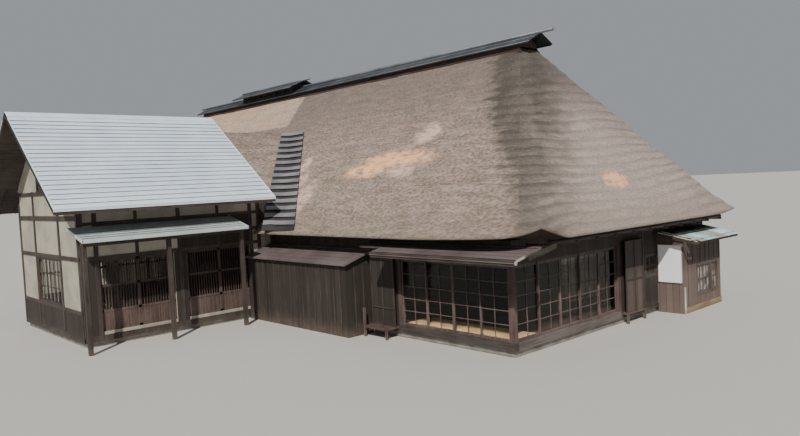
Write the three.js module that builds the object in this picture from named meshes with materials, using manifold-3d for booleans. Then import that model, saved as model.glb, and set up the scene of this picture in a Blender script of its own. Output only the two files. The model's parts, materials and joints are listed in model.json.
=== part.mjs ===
// Thatched farmhouse with an L plan: a long hipped main house and a metal-covered front wing.
// Millimetres, +Z up. The building frame used below has x = 0 on the main house's east wall face,
// y = 0 on its front wall face and z = 0 at the bottom of the veranda sill.
import * as THREE from "three";
import { mergeVertices } from "three/addons/utils/BufferGeometryUtils.js";
import Module from "manifold-3d";

const wasm = await Module();
wasm.setup();

// Driving dimensions
const seatGap = 0.3; // between pieces that touch
const groundZ = -150;
const mainLength = 25800;
const mainDepth = 9900;
const wallThick = 120;
const sillTop = 200;
const headZ = 2000; // underside of the beam over the sliding doors
const eaveZ = 2580; // level cut under the thatch
const ridgeY = mainDepth / 2;

const frontEaveOut = 700;
const hipEaveOut = 1000;
const frontPitch = 1.0038; // rise over run of the long slopes
const hipPitch = 1.376; // rise over run of the hip ends
const thatchDrop = 880; // thickness measured straight down
const thatchTopZ = 7800; // flat top that carries the ridge

const postSize = 130;
const frontOpening = 3640; // four leaves, two half-ken bays each side of the middle
const eastOpening = 4460; // five leaves
const leafClear = 6;
const leafThick = 30;
const leafLap = 36; // neighbouring leaves lap by one stile
const stileWide = 40;
const barWide = 22;
const rowPitch = 330;

const cornerAlong = 1400; // the thatch's rounded corners, along the front and along the hip end
const cornerAcross = 700;

const wingRidgeX = -12900;
const wingHalf = 2800; // ridge to outer wall face
const wingFrontY = -6100;
const wingRidgeZ = 6620;
const wingPitch = 0.7455;
const wingRoofDrop = 130;
const wingEaveRun = 3850;
const wingRoofSouth = -7000;
const wingRoofNorth = -380;

const stubRidgeZ = 6200;
const stubEaveRun = 3870;
const stubEaveZ = 2600;
const stubDrop = 520;
const stubPitch = (stubRidgeZ - stubEaveZ) / stubEaveRun;

const awningInner = 150;
const awningOuter = 1300;
const awningInnerZ = 2210;
const awningPitch = 0.22;
const awningSouth = 6500;
const awningNorth = 9550;
const awningSheet = 20;
const awningRafter = 60;

const annexOut = 800;
const annexSouth = 6800;
const annexNorth = 9250;
const annexWall = 80;

const westEave = -mainLength - hipEaveOut;
const backEave = mainDepth + frontEaveOut;
const centreX = (westEave + awningOuter) / 2;
const centreY = (wingRoofSouth + backEave) / 2;

const house = new THREE.Group();
house.position.set(-centreX, -centreY, -groundZ);

function finish(color, roughness, metalness = 0) {
  return { color, roughness, metalness };
}

const darkTimber = finish(0x3a2a22, 0.8);
const redTimber = finish(0x4b332a, 0.75);
const darkBoard = finish(0x332823, 0.85);
const litBoard = finish(0x6a5046, 0.85);
const greyPlaster = finish(0x8d8a82, 0.9);
const whitePanel = finish(0xdfe4e6, 0.6);
const paper = finish(0xb9b39a, 0.9);
const stone = finish(0x86817a, 0.95);
const floorBoard = finish(0xa68653, 0.7);
const thatch = finish(0x8b7c70, 1);
const ridgeBark = finish(0x54443a, 0.95);
const ridgeMetal = finish(0x55616c, 0.45, 0.6);
const wingMetal = finish(0xa9b6c0, 0.4, 0.6);
const mauveMetal = finish(0x7d6e69, 0.5, 0.5);
const valleyMetal = finish(0x9298a0, 0.4, 0.7);
const corrugated = finish(0x7fb9c2, 0.5, 0.2);

function add(name, geometry, look) {
  geometry.computeVertexNormals();
  const mesh = new THREE.Mesh(geometry, new THREE.MeshStandardMaterial(look));
  mesh.name = name;
  house.add(mesh);
}

// Boxes and prisms, all given by their real corners
function box(x0, y0, z0, x1, y1, z1) {
  const shape = new THREE.BoxGeometry(x1 - x0, y1 - y0, z1 - z0);
  return shape.translate((x0 + x1) / 2, (y0 + y1) / 2, (z0 + z1) / 2);
}

function extrude(points, depth) {
  const shape = new THREE.Shape(points.map(([a, b]) => new THREE.Vector2(a, b)));
  return new THREE.ExtrudeGeometry(shape, { depth, bevelEnabled: false });
}

const vector = (x, y, z) => new THREE.Vector3(x, y, z);

// Profile points are [y, z], and the prism runs along x.
function prismX(profile, x0, x1) {
  const turn = new THREE.Matrix4().makeBasis(vector(0, 1, 0), vector(0, 0, 1), vector(1, 0, 0));
  return extrude(profile, x1 - x0).applyMatrix4(turn).translate(x0, 0, 0);
}

// Profile points are [x, z], and the prism runs along y.
function prismY(profile, y0, y1) {
  const turn = new THREE.Matrix4().makeBasis(vector(1, 0, 0), vector(0, 0, 1), vector(0, -1, 0));
  return extrude(profile, y1 - y0).applyMatrix4(turn).translate(0, y1, 0);
}

// Outline points are [x, y], and the prism stands upright.
function prismZ(outline, z0, z1) {
  return extrude(outline, z1 - z0).translate(0, 0, z0);
}

function rodX(y, z, radius, x0, x1, sides) {
  const rod = new THREE.CylinderGeometry(radius, radius, x1 - x0, sides);
  return rod.rotateZ(Math.PI / 2).translate((x0 + x1) / 2, y, z);
}

// Joining and cutting
function solid(geometry) {
  const bare = geometry.clone();
  bare.deleteAttribute("normal");
  bare.deleteAttribute("uv");
  const merged = mergeVertices(bare, 1e-3);
  return new wasm.Manifold(
    new wasm.Mesh({
      numProp: 3,
      vertProperties: new Float32Array(merged.attributes.position.array),
      triVerts: new Uint32Array(merged.index.array),
    }),
  );
}

function geometryOf(body) {
  const mesh = body.getMesh();
  const geometry = new THREE.BufferGeometry();
  const positions = new THREE.Float32BufferAttribute(mesh.vertProperties, 3);
  geometry.setAttribute("position", positions);
  geometry.setIndex(new THREE.Uint32BufferAttribute(mesh.triVerts, 1));
  return geometry.toNonIndexed();
}

function joined(geometries) {
  return geometries.map(solid).reduce((sum, next) => sum.add(next));
}

function cut(body, geometries) {
  return geometries.map(solid).reduce((rest, next) => rest.subtract(next), body);
}

const cutBox = (geometry, holes) => geometryOf(cut(solid(geometry), holes));

// Ground and floor
function addBase() {
  const inset = 60;
  const wide = 200;
  const x0 = -mainLength + inset;
  const y1 = mainDepth - inset;
  const ring = box(x0, inset, groundZ, -inset, y1, -seatGap);
  const hollow = box(x0 + wide, inset + wide, groundZ - 1, -inset - wide, y1 - wide, 1);
  add("main_plinth", cutBox(ring, [hollow]), stone);

  const west = wingRidgeX - wingHalf + inset;
  const east = wingRidgeX + wingHalf - inset;
  const front = wingFrontY + inset;
  const back = inset - seatGap;
  const horseshoe = box(west, front, groundZ, east, back, -seatGap);
  const yard = box(west + wide, front + wide, groundZ - 1, east - wide, back + 1, 1);
  add("wing_plinth", cutBox(horseshoe, [yard]), stone);

  const edge = 150 + seatGap;
  const floorWest = -mainLength + wallThick + seatGap;
  const floorBack = mainDepth - wallThick - seatGap;
  add("house_floor", box(floorWest, edge, 140, -edge, floorBack, sillTop), floorBoard);
}

// Veranda: sills, posts, upper walls and sliding glass doors
const frontOpenWest = -postSize - frontOpening;
const eastOpenNorth = postSize + eastOpening;

function addVerandaFrame() {
  const sillDeep = 150;
  const leftPost = frontOpenWest - postSize;
  const endPost = eastOpenNorth + postSize;
  add("front_sill", box(leftPost, 0, 0, 0, sillDeep, sillTop - seatGap), darkTimber);
  const eastSill = box(-sillDeep, sillDeep + seatGap, 0, 0, endPost, sillTop - seatGap);
  add("east_sill", eastSill, darkTimber);
  const top = headZ - seatGap;
  add("corner_post", box(-postSize, 0, sillTop, 0, postSize, top), redTimber);
  add("front_left_post", box(leftPost, 0, sillTop, frontOpenWest, postSize, top), redTimber);
  add("east_end_post", box(-postSize, eastOpenNorth, sillTop, 0, endPost, top), redTimber);
  const plate = eaveZ - seatGap;
  add("front_upper_wall", box(leftPost, 0, headZ, 0, postSize, plate), darkBoard);
  const eastUpper = box(-postSize, postSize + seatGap, headZ, 0, endPost, plate);
  add("east_upper_wall", eastUpper, darkBoard);
}

// One door leaf lies in the x-z plane with its lower corner at the origin: stiles, rails, a middle
// upright and level bars, which leave two columns of panes.
function leafBody(width) {
  const tall = headZ - leafClear - sillTop - seatGap;
  const bottomRail = 70;
  const topRail = 74;
  const bars = [
    box(0, 0, 0, stileWide, leafThick, tall),
    box(width - stileWide, 0, 0, width, leafThick, tall),
    box(stileWide - 1, 0, 0, width - stileWide + 1, leafThick, bottomRail),
    box(stileWide - 1, 0, tall - topRail, width - stileWide + 1, leafThick, tall),
  ];
  const barFront = 4;
  const barBack = 20;
  const middle = (width - barWide) / 2;
  bars.push(box(middle, barFront, bottomRail - 1, middle + barWide, barBack, tall - topRail + 1));
  for (let z = bottomRail + rowPitch; z < tall - topRail - barWide; z += rowPitch) {
    const low = z - barWide / 2;
    bars.push(box(stileWide - 1, barFront, low, width - stileWide + 1, barBack, low + barWide));
  }
  return geometryOf(joined(bars));
}

const outerTrack = 30;
const innerTrack = outerTrack + leafThick + leafClear;

function addFrontLeaves() {
  const half = frontOpening / 2;
  const width = (half + leafLap - 1.5 * leafClear) / 2;
  const starts = [
    leafClear,
    half - leafClear / 2 - width,
    half + leafClear / 2,
    frontOpening - leafClear - width,
  ];
  const tracks = [outerTrack, innerTrack, innerTrack, outerTrack];
  starts.forEach((start, i) => {
    const leaf = leafBody(width).translate(frontOpenWest + start, tracks[i], sillTop);
    add(`front_leaf_${i + 1}`, leaf, redTimber);
  });
}

function addEastLeaves() {
  const count = 5;
  const width = (eastOpening - 2 * leafClear + (count - 1) * leafLap) / count;
  for (let i = 0; i < count; i++) {
    const start = postSize + leafClear + i * (width - leafLap);
    const track = i % 2 ? outerTrack : innerTrack;
    const leaf = leafBody(width).rotateZ(Math.PI / 2).translate(-track, start, sillTop);
    add(`east_leaf_${i + 1}`, leaf, redTimber);
  }
}

// A pair of paper screens between two posts, half a ken behind the east doors
function addPaperScreens() {
  const x = -940;
  const y0 = 3450;
  const y1 = 5300;
  const z0 = sillTop + seatGap;
  const lintel = 1960;
  const bars = [
    box(x - 30, y0 - 100, z0, x + 70, y0, 2250),
    box(x - 30, y1, z0, x + 70, y1 + 100, 2250),
    box(x - 20, y0 - 1, lintel, x + 60, y1 + 1, lintel + 110),
    box(x, y0 - 1, z0, x + 30, y1 + 1, lintel + 1),
  ];
  add("paper_screens", geometryOf(joined(bars)), paper);
}

// Walls of the main house
const mainWallTop = eaveZ - seatGap;

function addMainWalls() {
  const wingWest = wingRidgeX - wingHalf;
  const wingEast = wingRidgeX + wingHalf;
  const leftPost = frontOpenWest - postSize;
  const frontMid = box(wingEast - wallThick, 0, 0, leftPost - seatGap, wallThick, mainWallTop);
  add("front_wall", frontMid, darkBoard);
  const frontWest = box(-mainLength, 0, 0, wingWest + wallThick, wallThick, mainWallTop);
  const frontWestWindow = box(-22000, -1, 900, -19400, wallThick + 1, 2000);
  add("front_wall_west", cutBox(frontWest, [frontWestWindow]), darkBoard);
  const beamWest = wingWest + wallThick + seatGap;
  const beamEast = wingEast - wallThick - seatGap;
  add("passage_beam", box(beamWest, 0, 2300, beamEast, wallThick, mainWallTop), darkTimber);

  const backFace = mainDepth - wallThick;
  const backHoles = [-20000, -12500, -5000].map((x) =>
    box(x - 1300, backFace - 1, 900, x + 1300, mainDepth + 1, 2000),
  );
  const back = box(-mainLength, backFace, 0, 0, mainDepth, mainWallTop);
  add("back_wall", cutBox(back, backHoles), darkBoard);

  const inner = wallThick + seatGap;
  const west = box(-mainLength, inner, 0, wallThick - mainLength, backFace - seatGap, mainWallTop);
  const westHole = box(-mainLength - 1, 3650, 900, wallThick + 1 - mainLength, 6250, 2000);
  add("west_wall", cutBox(west, [westHole]), darkBoard);

  const start = eastOpenNorth + postSize + seatGap;
  const east = box(-wallThick, start, 0, 0, backFace - seatGap, mainWallTop);
  const eastHole = box(-wallThick - 1, 6120, 980, 1, 6720, 1560);
  add("east_wall", cutBox(east, [eastHole]), darkBoard);
}

// Shutter cases: boxes of boards, open towards the door row and against the wall
function addShutterCases() {
  const deep = 150;
  const board = 20;
  const z0 = 150;
  const eastStart = eastOpenNorth + postSize + 30;
  const eastEnd = 5720;
  const baseOut = 190;
  const leg = 60;
  const eastCase = [
    [deep - board, eastStart],
    [deep, eastStart],
    [deep, eastEnd],
    [seatGap, eastEnd],
    [seatGap, eastEnd - board],
    [deep - board, eastEnd - board],
  ];
  const eastBase = [
    box(seatGap, eastStart, z0 - 50, baseOut, eastEnd, z0),
    box(baseOut - leg, eastStart, groundZ, baseOut, eastStart + leg, z0 - 10),
    box(baseOut - leg, eastEnd - leg, groundZ, baseOut, eastEnd, z0 - 10),
  ];
  const eastWhole = joined([prismZ(eastCase, z0 - 1, headZ + 130), ...eastBase]);
  add("east_shutter_case", geometryOf(eastWhole), litBoard);

  const frontDeep = 130;
  const west = -4850;
  const east = frontOpenWest - postSize - 10;
  const frontCase = [
    [east, -frontDeep],
    [east, board - frontDeep],
    [west + board, board - frontDeep],
    [west + board, -seatGap],
    [west, -seatGap],
    [west, -frontDeep],
  ];
  add("front_shutter_case", prismZ(frontCase, z0, headZ), litBoard);

  const deckTop = z0 - seatGap;
  const frontDeck = [
    box(west, -480, deckTop - 50, east, -seatGap, deckTop),
    box(west, -480, groundZ, west + leg, -480 + leg, 640),
    box(east - leg, -480, groundZ, east, -480 + leg, deckTop - 10),
  ];
  add("side_deck", geometryOf(joined(frontDeck)), redTimber);
}

// A sheet roof between an upper edge and a lower edge: profile [y, z]
const sheetRoof = (y0, z0, y1, z1, thick) => [
  [y0, z0],
  [y1, z1],
  [y1, z1 - thick],
  [y0, z0 - thick],
];

const leanTo = { west: -3960, east: 830, upperZ: 2440, outY: -900, lowerZ: 2240, thick: 45 };
const leanToTail = { west: -4880, outY: -450 }; // shorter stretch over the front shutter case

function addLeanTo() {
  const { west, east, upperZ, outY, lowerZ, thick } = leanTo;
  const pitch = (upperZ - lowerZ) / -outY;
  const roof = sheetRoof(-seatGap, upperZ, outY, lowerZ, thick);
  const tailOut = leanToTail.outY;
  const tail = sheetRoof(-seatGap, upperZ, tailOut, upperZ + pitch * tailOut, thick);
  const sheets = joined([prismX(roof, west, east), prismX(tail, leanToTail.west, west + 1)]);
  add("lean_to_roof", geometryOf(sheets), mauveMetal);

  const under = upperZ - thick - seatGap;
  const rafterOut = -840;
  const rafterDeep = 60;
  const rafter = sheetRoof(-seatGap, under, rafterOut, under + pitch * rafterOut, rafterDeep);
  const rafters = [];
  const bay = 909;
  for (let x = east - 110; x > west + 60; x -= bay) {
    rafters.push(prismX(rafter, x - 25, x + 25));
  }
  const purlinTop = under + pitch * -700 - rafterDeep + 12;
  rafters.push(box(west + 40, -740, purlinTop - 80, east - 60, -660, purlinTop));
  add("lean_to_frame", geometryOf(joined(rafters)), redTimber);
}

const porch = { east: -4900, upperZ: 2200, outY: -1000, lowerZ: 1880, thick: 45, wallY: -900 };

function addPorch() {
  const { east, upperZ, outY, lowerZ, thick, wallY } = porch;
  const west = wingRidgeX + wingHalf + seatGap;
  const roof = sheetRoof(-seatGap, upperZ, outY, lowerZ, thick);
  add("porch_roof", prismX(roof, west, east), mauveMetal);

  const pitch = (upperZ - lowerZ) / -outY;
  const underAt = (y) => upperZ + pitch * y - thick - seatGap;
  const wall = 80;
  const wallEast = east - 100;
  const front = [
    [wallY, groundZ],
    [wallY + wall, groundZ],
    [wallY + wall, underAt(wallY + wall)],
    [wallY, underAt(wallY)],
  ];
  add("porch_front_wall", prismX(front, west, wallEast), darkBoard);
  const y0 = wallY + wall + seatGap;
  const side = [
    [y0, groundZ],
    [-seatGap, groundZ],
    [-seatGap, underAt(-seatGap)],
    [y0, underAt(y0)],
  ];
  add("porch_side_wall", prismX(side, wallEast - wall, wallEast), darkBoard);
}

// East annex with its white panel, and the corrugated awning over it
const awningTopAt = (x) => awningInnerZ - awningPitch * (x - awningInner);

function addAnnex() {
  const topAt = (x) => awningTopAt(x) - awningSheet - awningRafter - 2 * seatGap;
  const block = prismY(
    [
      [seatGap, groundZ],
      [annexOut, groundZ],
      [annexOut, topAt(annexOut)],
      [seatGap, topAt(seatGap)],
    ],
    annexSouth,
    annexNorth,
  );
  const room = box(
    -1,
    annexSouth + annexWall,
    groundZ - 1,
    annexOut - annexWall,
    annexNorth - annexWall,
    3000,
  );
  const x0 = annexOut - annexWall - 1;
  const x1 = annexOut + 1;
  const window = box(x0, 7650, 330, x1, 8500, 1150);
  const smallWindow = box(x0, 8620, 330, x1, 9000, 1150);
  add("annex_walls", cutBox(block, [room, window, smallWindow]), litBoard);

  const panel = box(50, annexSouth - 20, 750, 750, annexSouth - seatGap, 1830);
  add("white_panel", panel, whitePanel);
}

function addAwning() {
  const sheet = [
    [awningInner, awningInnerZ],
    [awningOuter, awningTopAt(awningOuter)],
    [awningOuter, awningTopAt(awningOuter) - awningSheet],
    [awningInner, awningInnerZ - awningSheet],
  ];
  add("awning_sheet", prismY(sheet, awningSouth, awningNorth), corrugated);

  const rafterAt = (x0, x1) => {
    const top = (x) => awningTopAt(x) - awningSheet - seatGap;
    return [
      [x0, top(x0)],
      [x1, top(x1)],
      [x1, top(x1) - awningRafter],
      [x0, top(x0) - awningRafter],
    ];
  };
  const bars = [];
  const inset = 50;
  const wide = 45;
  const x1 = awningOuter - inset;
  const spacing = (awningNorth - awningSouth - 2 * inset - wide) / 4;
  for (let i = 0; i <= 4; i++) {
    const y = awningSouth + inset + i * spacing;
    bars.push(prismY(rafterAt(seatGap, x1), y, y + wide));
  }
  for (const x of [awningInner + 40, x1 - 60]) {
    bars.push(prismY(rafterAt(x, x + 55), awningSouth + inset, awningNorth - inset));
  }
  add("awning_frame", geometryOf(joined(bars)), darkTimber);
}

// Thatch of the main house. The long slopes and the hip ends meet on upright mitre planes.
const mitreRun = frontPitch / hipPitch; // run along x for each run along y
const hipTopX = hipEaveOut - mitreRun * (ridgeY + frontEaveOut);
const mitreGap = 0.2;

// Outline of the eaves with a rounded corner at each end, as points [x, y]
function eaveOutline() {
  const steps = 8;
  const points = [];
  const corners = [
    [hipEaveOut - cornerAlong, backEave - cornerAcross, 0],
    [westEave + cornerAlong, backEave - cornerAcross, 1],
    [westEave + cornerAlong, cornerAcross - frontEaveOut, 2],
    [hipEaveOut - cornerAlong, cornerAcross - frontEaveOut, 3],
  ];
  for (const [x, y, quarter] of corners) {
    for (let i = 0; i <= steps; i++) {
      const angle = ((quarter + i / steps) * Math.PI) / 2;
      points.push([x + cornerAlong * Math.cos(angle), y + cornerAcross * Math.sin(angle)]);
    }
  }
  return points;
}

const eaves = solid(prismZ(eaveOutline(), 0, 2 * thatchTopZ));

// The front eave stops at the wing's side walls.
const wingNotch = box(
  wingRidgeX - wingHalf - seatGap,
  -frontEaveOut - 1,
  eaveZ - 1,
  wingRidgeX + wingHalf + seatGap,
  wingRoofNorth - seatGap,
  eaveZ + frontPitch * frontEaveOut,
);

function addLongSlope(name, yAt, notches) {
  const innerAt = (y) => eaveZ - thatchDrop + frontPitch * (y + frontEaveOut);
  const crest = ridgeY - seatGap / 2;
  const flat = -frontEaveOut + (thatchTopZ - eaveZ) / frontPitch;
  const profile = [
    [-frontEaveOut, eaveZ],
    [thatchDrop / frontPitch - frontEaveOut, eaveZ],
    [crest, innerAt(crest)],
    [crest, thatchTopZ],
    [flat, thatchTopZ],
  ].map(([y, z]) => [yAt(y), z]);
  const plan = [
    [westEave + mitreGap, -frontEaveOut],
    [hipEaveOut - mitreGap, -frontEaveOut],
    [hipTopX - mitreGap, ridgeY],
    [-mainLength - hipTopX + mitreGap, ridgeY],
  ].map(([x, y]) => [x, yAt(y)]);
  const whole = solid(prismX(profile, westEave, hipEaveOut));
  const footprint = solid(prismZ(plan, 0, 2 * thatchTopZ));
  const slope = whole.intersect(footprint).intersect(eaves);
  add(name, geometryOf(cut(slope, notches)), thatch);
}

function addHipEnd(name, xAt) {
  const innerAt = (x) => eaveZ - thatchDrop + hipPitch * (hipEaveOut - x);
  const flat = hipEaveOut - (thatchTopZ - eaveZ) / hipPitch;
  const profile = [
    [hipEaveOut, eaveZ],
    [hipEaveOut - thatchDrop / hipPitch, eaveZ],
    [hipTopX, innerAt(hipTopX)],
    [hipTopX, thatchTopZ],
    [flat, thatchTopZ],
  ].map(([x, z]) => [xAt(x), z]);
  const plan = [
    [hipEaveOut + mitreGap, -frontEaveOut],
    [hipEaveOut + mitreGap, backEave],
    [hipTopX + mitreGap, ridgeY],
  ].map(([x, y]) => [xAt(x), y]);
  const whole = solid(prismY(profile, -frontEaveOut, backEave));
  const footprint = solid(prismZ(plan, 0, 2 * thatchTopZ));
  add(name, geometryOf(whole.intersect(footprint).intersect(eaves)), thatch);
}

// Everything under the main roof's front slope, raised by lift, so that pieces of the wing end on it
function mainRoofBlock(lift) {
  const far = mainDepth;
  const top = thatchTopZ + lift;
  const profile = [
    [-frontEaveOut - seatGap, eaveZ - seatGap],
    [-frontEaveOut - seatGap, eaveZ + lift],
    [-frontEaveOut + (thatchTopZ - eaveZ) / frontPitch - seatGap, top],
    [far, top],
    [far, eaveZ - seatGap],
  ];
  return prismX(profile, -mainLength, 0);
}

// The wing's thatch stub, between the main slope and the metal-covered roof. side is 1 for east.
function stubProfile(side, lift, drop) {
  const peak = stubRidgeZ + lift;
  const eave = stubEaveZ + lift;
  const cutRun = (peak - drop - stubEaveZ) / stubPitch;
  const points = [
    [seatGap / 2, peak],
    [stubEaveRun, eave],
    [stubEaveRun, stubEaveZ],
    [cutRun, stubEaveZ],
    [seatGap / 2, peak - drop],
  ];
  const outline = lift > 0 ? points : points.filter((_, i) => i !== 2);
  return outline.map(([run, z]) => [wingRidgeX + side * run, z]);
}

const stubSouth = wingRoofNorth + seatGap;

function addStub(name, side) {
  const slope = solid(prismY(stubProfile(side, 0, stubDrop), stubSouth, ridgeY));
  add(name, geometryOf(cut(slope, [mainRoofBlock(seatGap)])), thatch);
}

// A bent metal strip that covers the valley between the main slope and the stub
function addValley(name, side) {
  const thick = 30;
  const halfWide = 500;
  const valleyTopY = (stubRidgeZ - eaveZ) / frontPitch - frontEaveOut;
  const fall = stubPitch / frontPitch;
  const across = halfWide * Math.hypot(1, fall);
  const start = 60;
  const end = stubEaveRun - 20;
  const yAt = (run) => valleyTopY - fall * run;
  const plan = [
    [start, yAt(start) - across],
    [end, yAt(end) - across],
    [end, yAt(end) + across],
    [start, yAt(start) + across],
  ].map(([run, y]) => [wingRidgeX + side * run, y]);
  const above = solid(mainRoofBlock(thick)).add(
    solid(prismY(stubProfile(side, thick, stubDrop), stubSouth, ridgeY)),
  );
  const skin = cut(above, [
    mainRoofBlock(2 * seatGap),
    prismY(stubProfile(side, seatGap, 2 * stubDrop), stubSouth - 1, ridgeY + 1),
  ]);
  const strip = solid(prismZ(plan, stubEaveZ + 40, stubRidgeZ - 40));
  add(name, geometryOf(skin.intersect(strip)), valleyMetal);
}

// Ridge: a bark-covered core, a metal cap with a pole along it, and the smoke vent astride it
const capHalf = 560;
const capPeakZ = 8280;
const capEdgeZ = 7990;
const capThick = 40;
const capSlope = (capPeakZ - capEdgeZ) / capHalf;
const poleRadius = 50;
const poleZ = capPeakZ + 15;

function addRidge() {
  const endIn = 140;
  const footHalf = 450;
  const coreHalf = 400;
  const under = capPeakZ - capThick - seatGap;
  const core = [
    [ridgeY - footHalf, thatchTopZ + seatGap],
    [ridgeY + footHalf, thatchTopZ + seatGap],
    [ridgeY + coreHalf, under - capSlope * coreHalf],
    [ridgeY, under],
    [ridgeY - coreHalf, under - capSlope * coreHalf],
  ];
  const coreEast = hipEaveOut - (thatchTopZ - eaveZ) / hipPitch - endIn;
  add("ridge_core", prismX(core, -mainLength - coreEast, coreEast), ridgeBark);

  const capEast = -2500;
  const poleEast = -2050;
  const section = gableShell(ridgeY, capHalf, capPeakZ, capEdgeZ, capThick);
  const cap = prismX(section, -mainLength - capEast, capEast);
  const pole = rodX(ridgeY, poleZ, poleRadius, -mainLength - poleEast, poleEast, 12);
  add("ridge_cap", geometryOf(joined([cap, pole])), ridgeMetal);
}

// Section of a bent sheet with its peak over the middle
function gableShell(middle, half, peak, edge, thick) {
  return [
    [middle - half, edge],
    [middle - half, edge - thick],
    [middle, peak - thick],
    [middle + half, edge - thick],
    [middle + half, edge],
    [middle, peak],
  ];
}

function addVent() {
  const west = -18900;
  const east = -14900;
  const half = 450;
  const wall = 60;
  const roofHalf = 760;
  const peak = 8560;
  const edge = 8250;
  const thick = 40;
  const slope = (peak - edge) / roofHalf;
  const under = peak - thick - seatGap;
  const low = capPeakZ - capSlope * half;
  const body = prismX(
    [
      [ridgeY - half, low - 60],
      [ridgeY + half, low - 60],
      [ridgeY + half, under - slope * half],
      [ridgeY, under],
      [ridgeY - half, under - slope * half],
    ],
    west,
    east,
  );
  const inside = half - wall;
  const hollow = prismX(
    [
      [ridgeY - inside, low - 100],
      [ridgeY + inside, low - 100],
      [ridgeY + inside, under - slope * inside - wall],
      [ridgeY, under - wall],
      [ridgeY - inside, under - slope * inside - wall],
    ],
    west + wall,
    east - wall,
  );
  const saddle = prismX(
    [
      [ridgeY - 2 * half, thatchTopZ],
      [ridgeY + 2 * half, thatchTopZ],
      [ridgeY + 2 * half, capPeakZ + seatGap - capSlope * 2 * half],
      [ridgeY, capPeakZ + seatGap],
      [ridgeY - 2 * half, capPeakZ + seatGap - capSlope * 2 * half],
    ],
    west - 1,
    east + 1,
  );
  const poleRoom = rodX(ridgeY, poleZ, poleRadius + 1, west - 1, east + 1, 12);
  const louvres = [];
  for (let i = 0; i < 6; i++) {
    const x = west + 200 + i * 620;
    louvres.push(box(x, ridgeY - half - 1, low + 60, x + 500, ridgeY + half + 1, low + 190));
  }
  add("vent_body", cutBox(body, [hollow, saddle, poleRoom, ...louvres]), darkBoard);

  const roof = prismX(gableShell(ridgeY, roofHalf, peak, edge, thick), west - 450, east + 350);
  const pole = rodX(ridgeY, peak + 12, 42, west - 850, east + 500, 12);
  add("vent_roof", geometryOf(joined([roof, pole])), ridgeMetal);
}

// Wing: walls, metal-covered roof, and the pent roof along its east side
const wingTopAt = (run) => wingRidgeZ - wingPitch * run;

function addWingWalls() {
  const top = wingTopAt(wingHalf) - wingRoofDrop - seatGap;
  const north = wingRoofNorth - 2 * seatGap;
  const side = [
    [wingFrontY, 0],
    [-seatGap, 0],
    [-seatGap, eaveZ - 2 * seatGap],
    [north, eaveZ - 2 * seatGap],
    [north, top],
    [wingFrontY, top],
  ];
  for (const east of [true, false]) {
    const x0 = east ? wingRidgeX + wingHalf - wallThick : wingRidgeX - wingHalf;
    const x1 = x0 + wallThick;
    const holes = [-4500, -1900].map((y) => box(x0 - 1, y - 1100, 250, x1 + 1, y + 1100, 2280));
    add(east ? "wing_east_wall" : "wing_west_wall", cutBox(prismX(side, x0, x1), holes), darkBoard);
  }

  const half = wingHalf - wallThick - seatGap;
  const under = wingRidgeZ - wingRoofDrop - seatGap;
  const gable = (bottom) => [
    [wingRidgeX - half, bottom],
    [wingRidgeX + half, bottom],
    [wingRidgeX + half, under - wingPitch * half],
    [wingRidgeX, under],
    [wingRidgeX - half, under - wingPitch * half],
  ];
  const wall = prismY(gable(0), wingFrontY, wingFrontY + wallThick);
  const y0 = wingFrontY - 1;
  const y1 = wingFrontY + wallThick + 1;
  const window = box(wingRidgeX - 1100, y0, 900, wingRidgeX + 1100, y1, 2250);
  const attic = box(wingRidgeX - 600, y0, 4300, wingRidgeX + 600, y1, 5100);
  add("wing_gable_wall", cutBox(wall, [window, attic]), greyPlaster);
  const closing = prismY(gable(eaveZ + 20), north - wallThick, north);
  add("wing_north_gable", closing, darkBoard);
}

function addWingRoof() {
  for (const side of [1, -1]) {
    const slope = [
      [seatGap / 2, wingTopAt(0)],
      [wingEaveRun, wingTopAt(wingEaveRun)],
      [wingEaveRun, wingTopAt(wingEaveRun) - wingRoofDrop],
      [seatGap / 2, wingTopAt(0) - wingRoofDrop],
    ].map(([run, z]) => [wingRidgeX + side * run, z]);
    const roof = prismY(slope, wingRoofSouth, wingRoofNorth);
    const name = side > 0 ? "wing_roof_east" : "wing_roof_west";
    add(name, roof, wingMetal);
  }
  const half = 260;
  const lift = 40;
  const peak = wingRidgeZ + lift + seatGap;
  const cap = gableShell(wingRidgeX, half, peak, peak - wingPitch * half, lift);
  add("wing_ridge_cap", prismY(cap, wingRoofSouth, wingRoofNorth), wingMetal);
}

function addWingPent() {
  const wallX = wingRidgeX + wingHalf + seatGap;
  const outX = -8900;
  const upperZ = 3230;
  const lowerZ = 2900;
  const thick = 60;
  const south = -6400;
  const north = -1500;
  const roof = [
    [wallX, upperZ],
    [outX, lowerZ],
    [outX, lowerZ - thick],
    [wallX, upperZ - thick],
  ];
  add("wing_pent_roof", prismY(roof, south, north), wingMetal);

  const pitch = (upperZ - lowerZ) / (outX - wallX);
  const underAt = (x) => upperZ - thick - seatGap - pitch * (x - wallX);
  const post = 110;
  const beamX = outX - 330;
  const beamTop = underAt(beamX + post);
  const bars = [box(beamX, south + 40, beamTop - 160, beamX + post, north - 40, beamTop)];
  for (const y of [south + 60, (south + north - post) / 2, north - 60 - post]) {
    bars.push(box(beamX, y, groundZ, beamX + post, y + post, beamTop - 10));
  }
  add("wing_pent_frame", geometryOf(joined(bars)), darkTimber);
}

addBase();
addVerandaFrame();
addFrontLeaves();
addEastLeaves();
addPaperScreens();
addMainWalls();
addShutterCases();
addLeanTo();
addPorch();
addAnnex();
addAwning();
addLongSlope("thatch_front", (y) => y, [wingNotch]);
addLongSlope("thatch_back", (y) => mainDepth - y, []);
addHipEnd("thatch_east_hip", (x) => x);
addHipEnd("thatch_west_hip", (x) => -mainLength - x);
addStub("wing_thatch_east", 1);
addStub("wing_thatch_west", -1);
addValley("valley_metal_east", 1);
addValley("valley_metal_west", -1);
addRidge();
addVent();
addWingWalls();
addWingRoof();
addWingPent();

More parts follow.
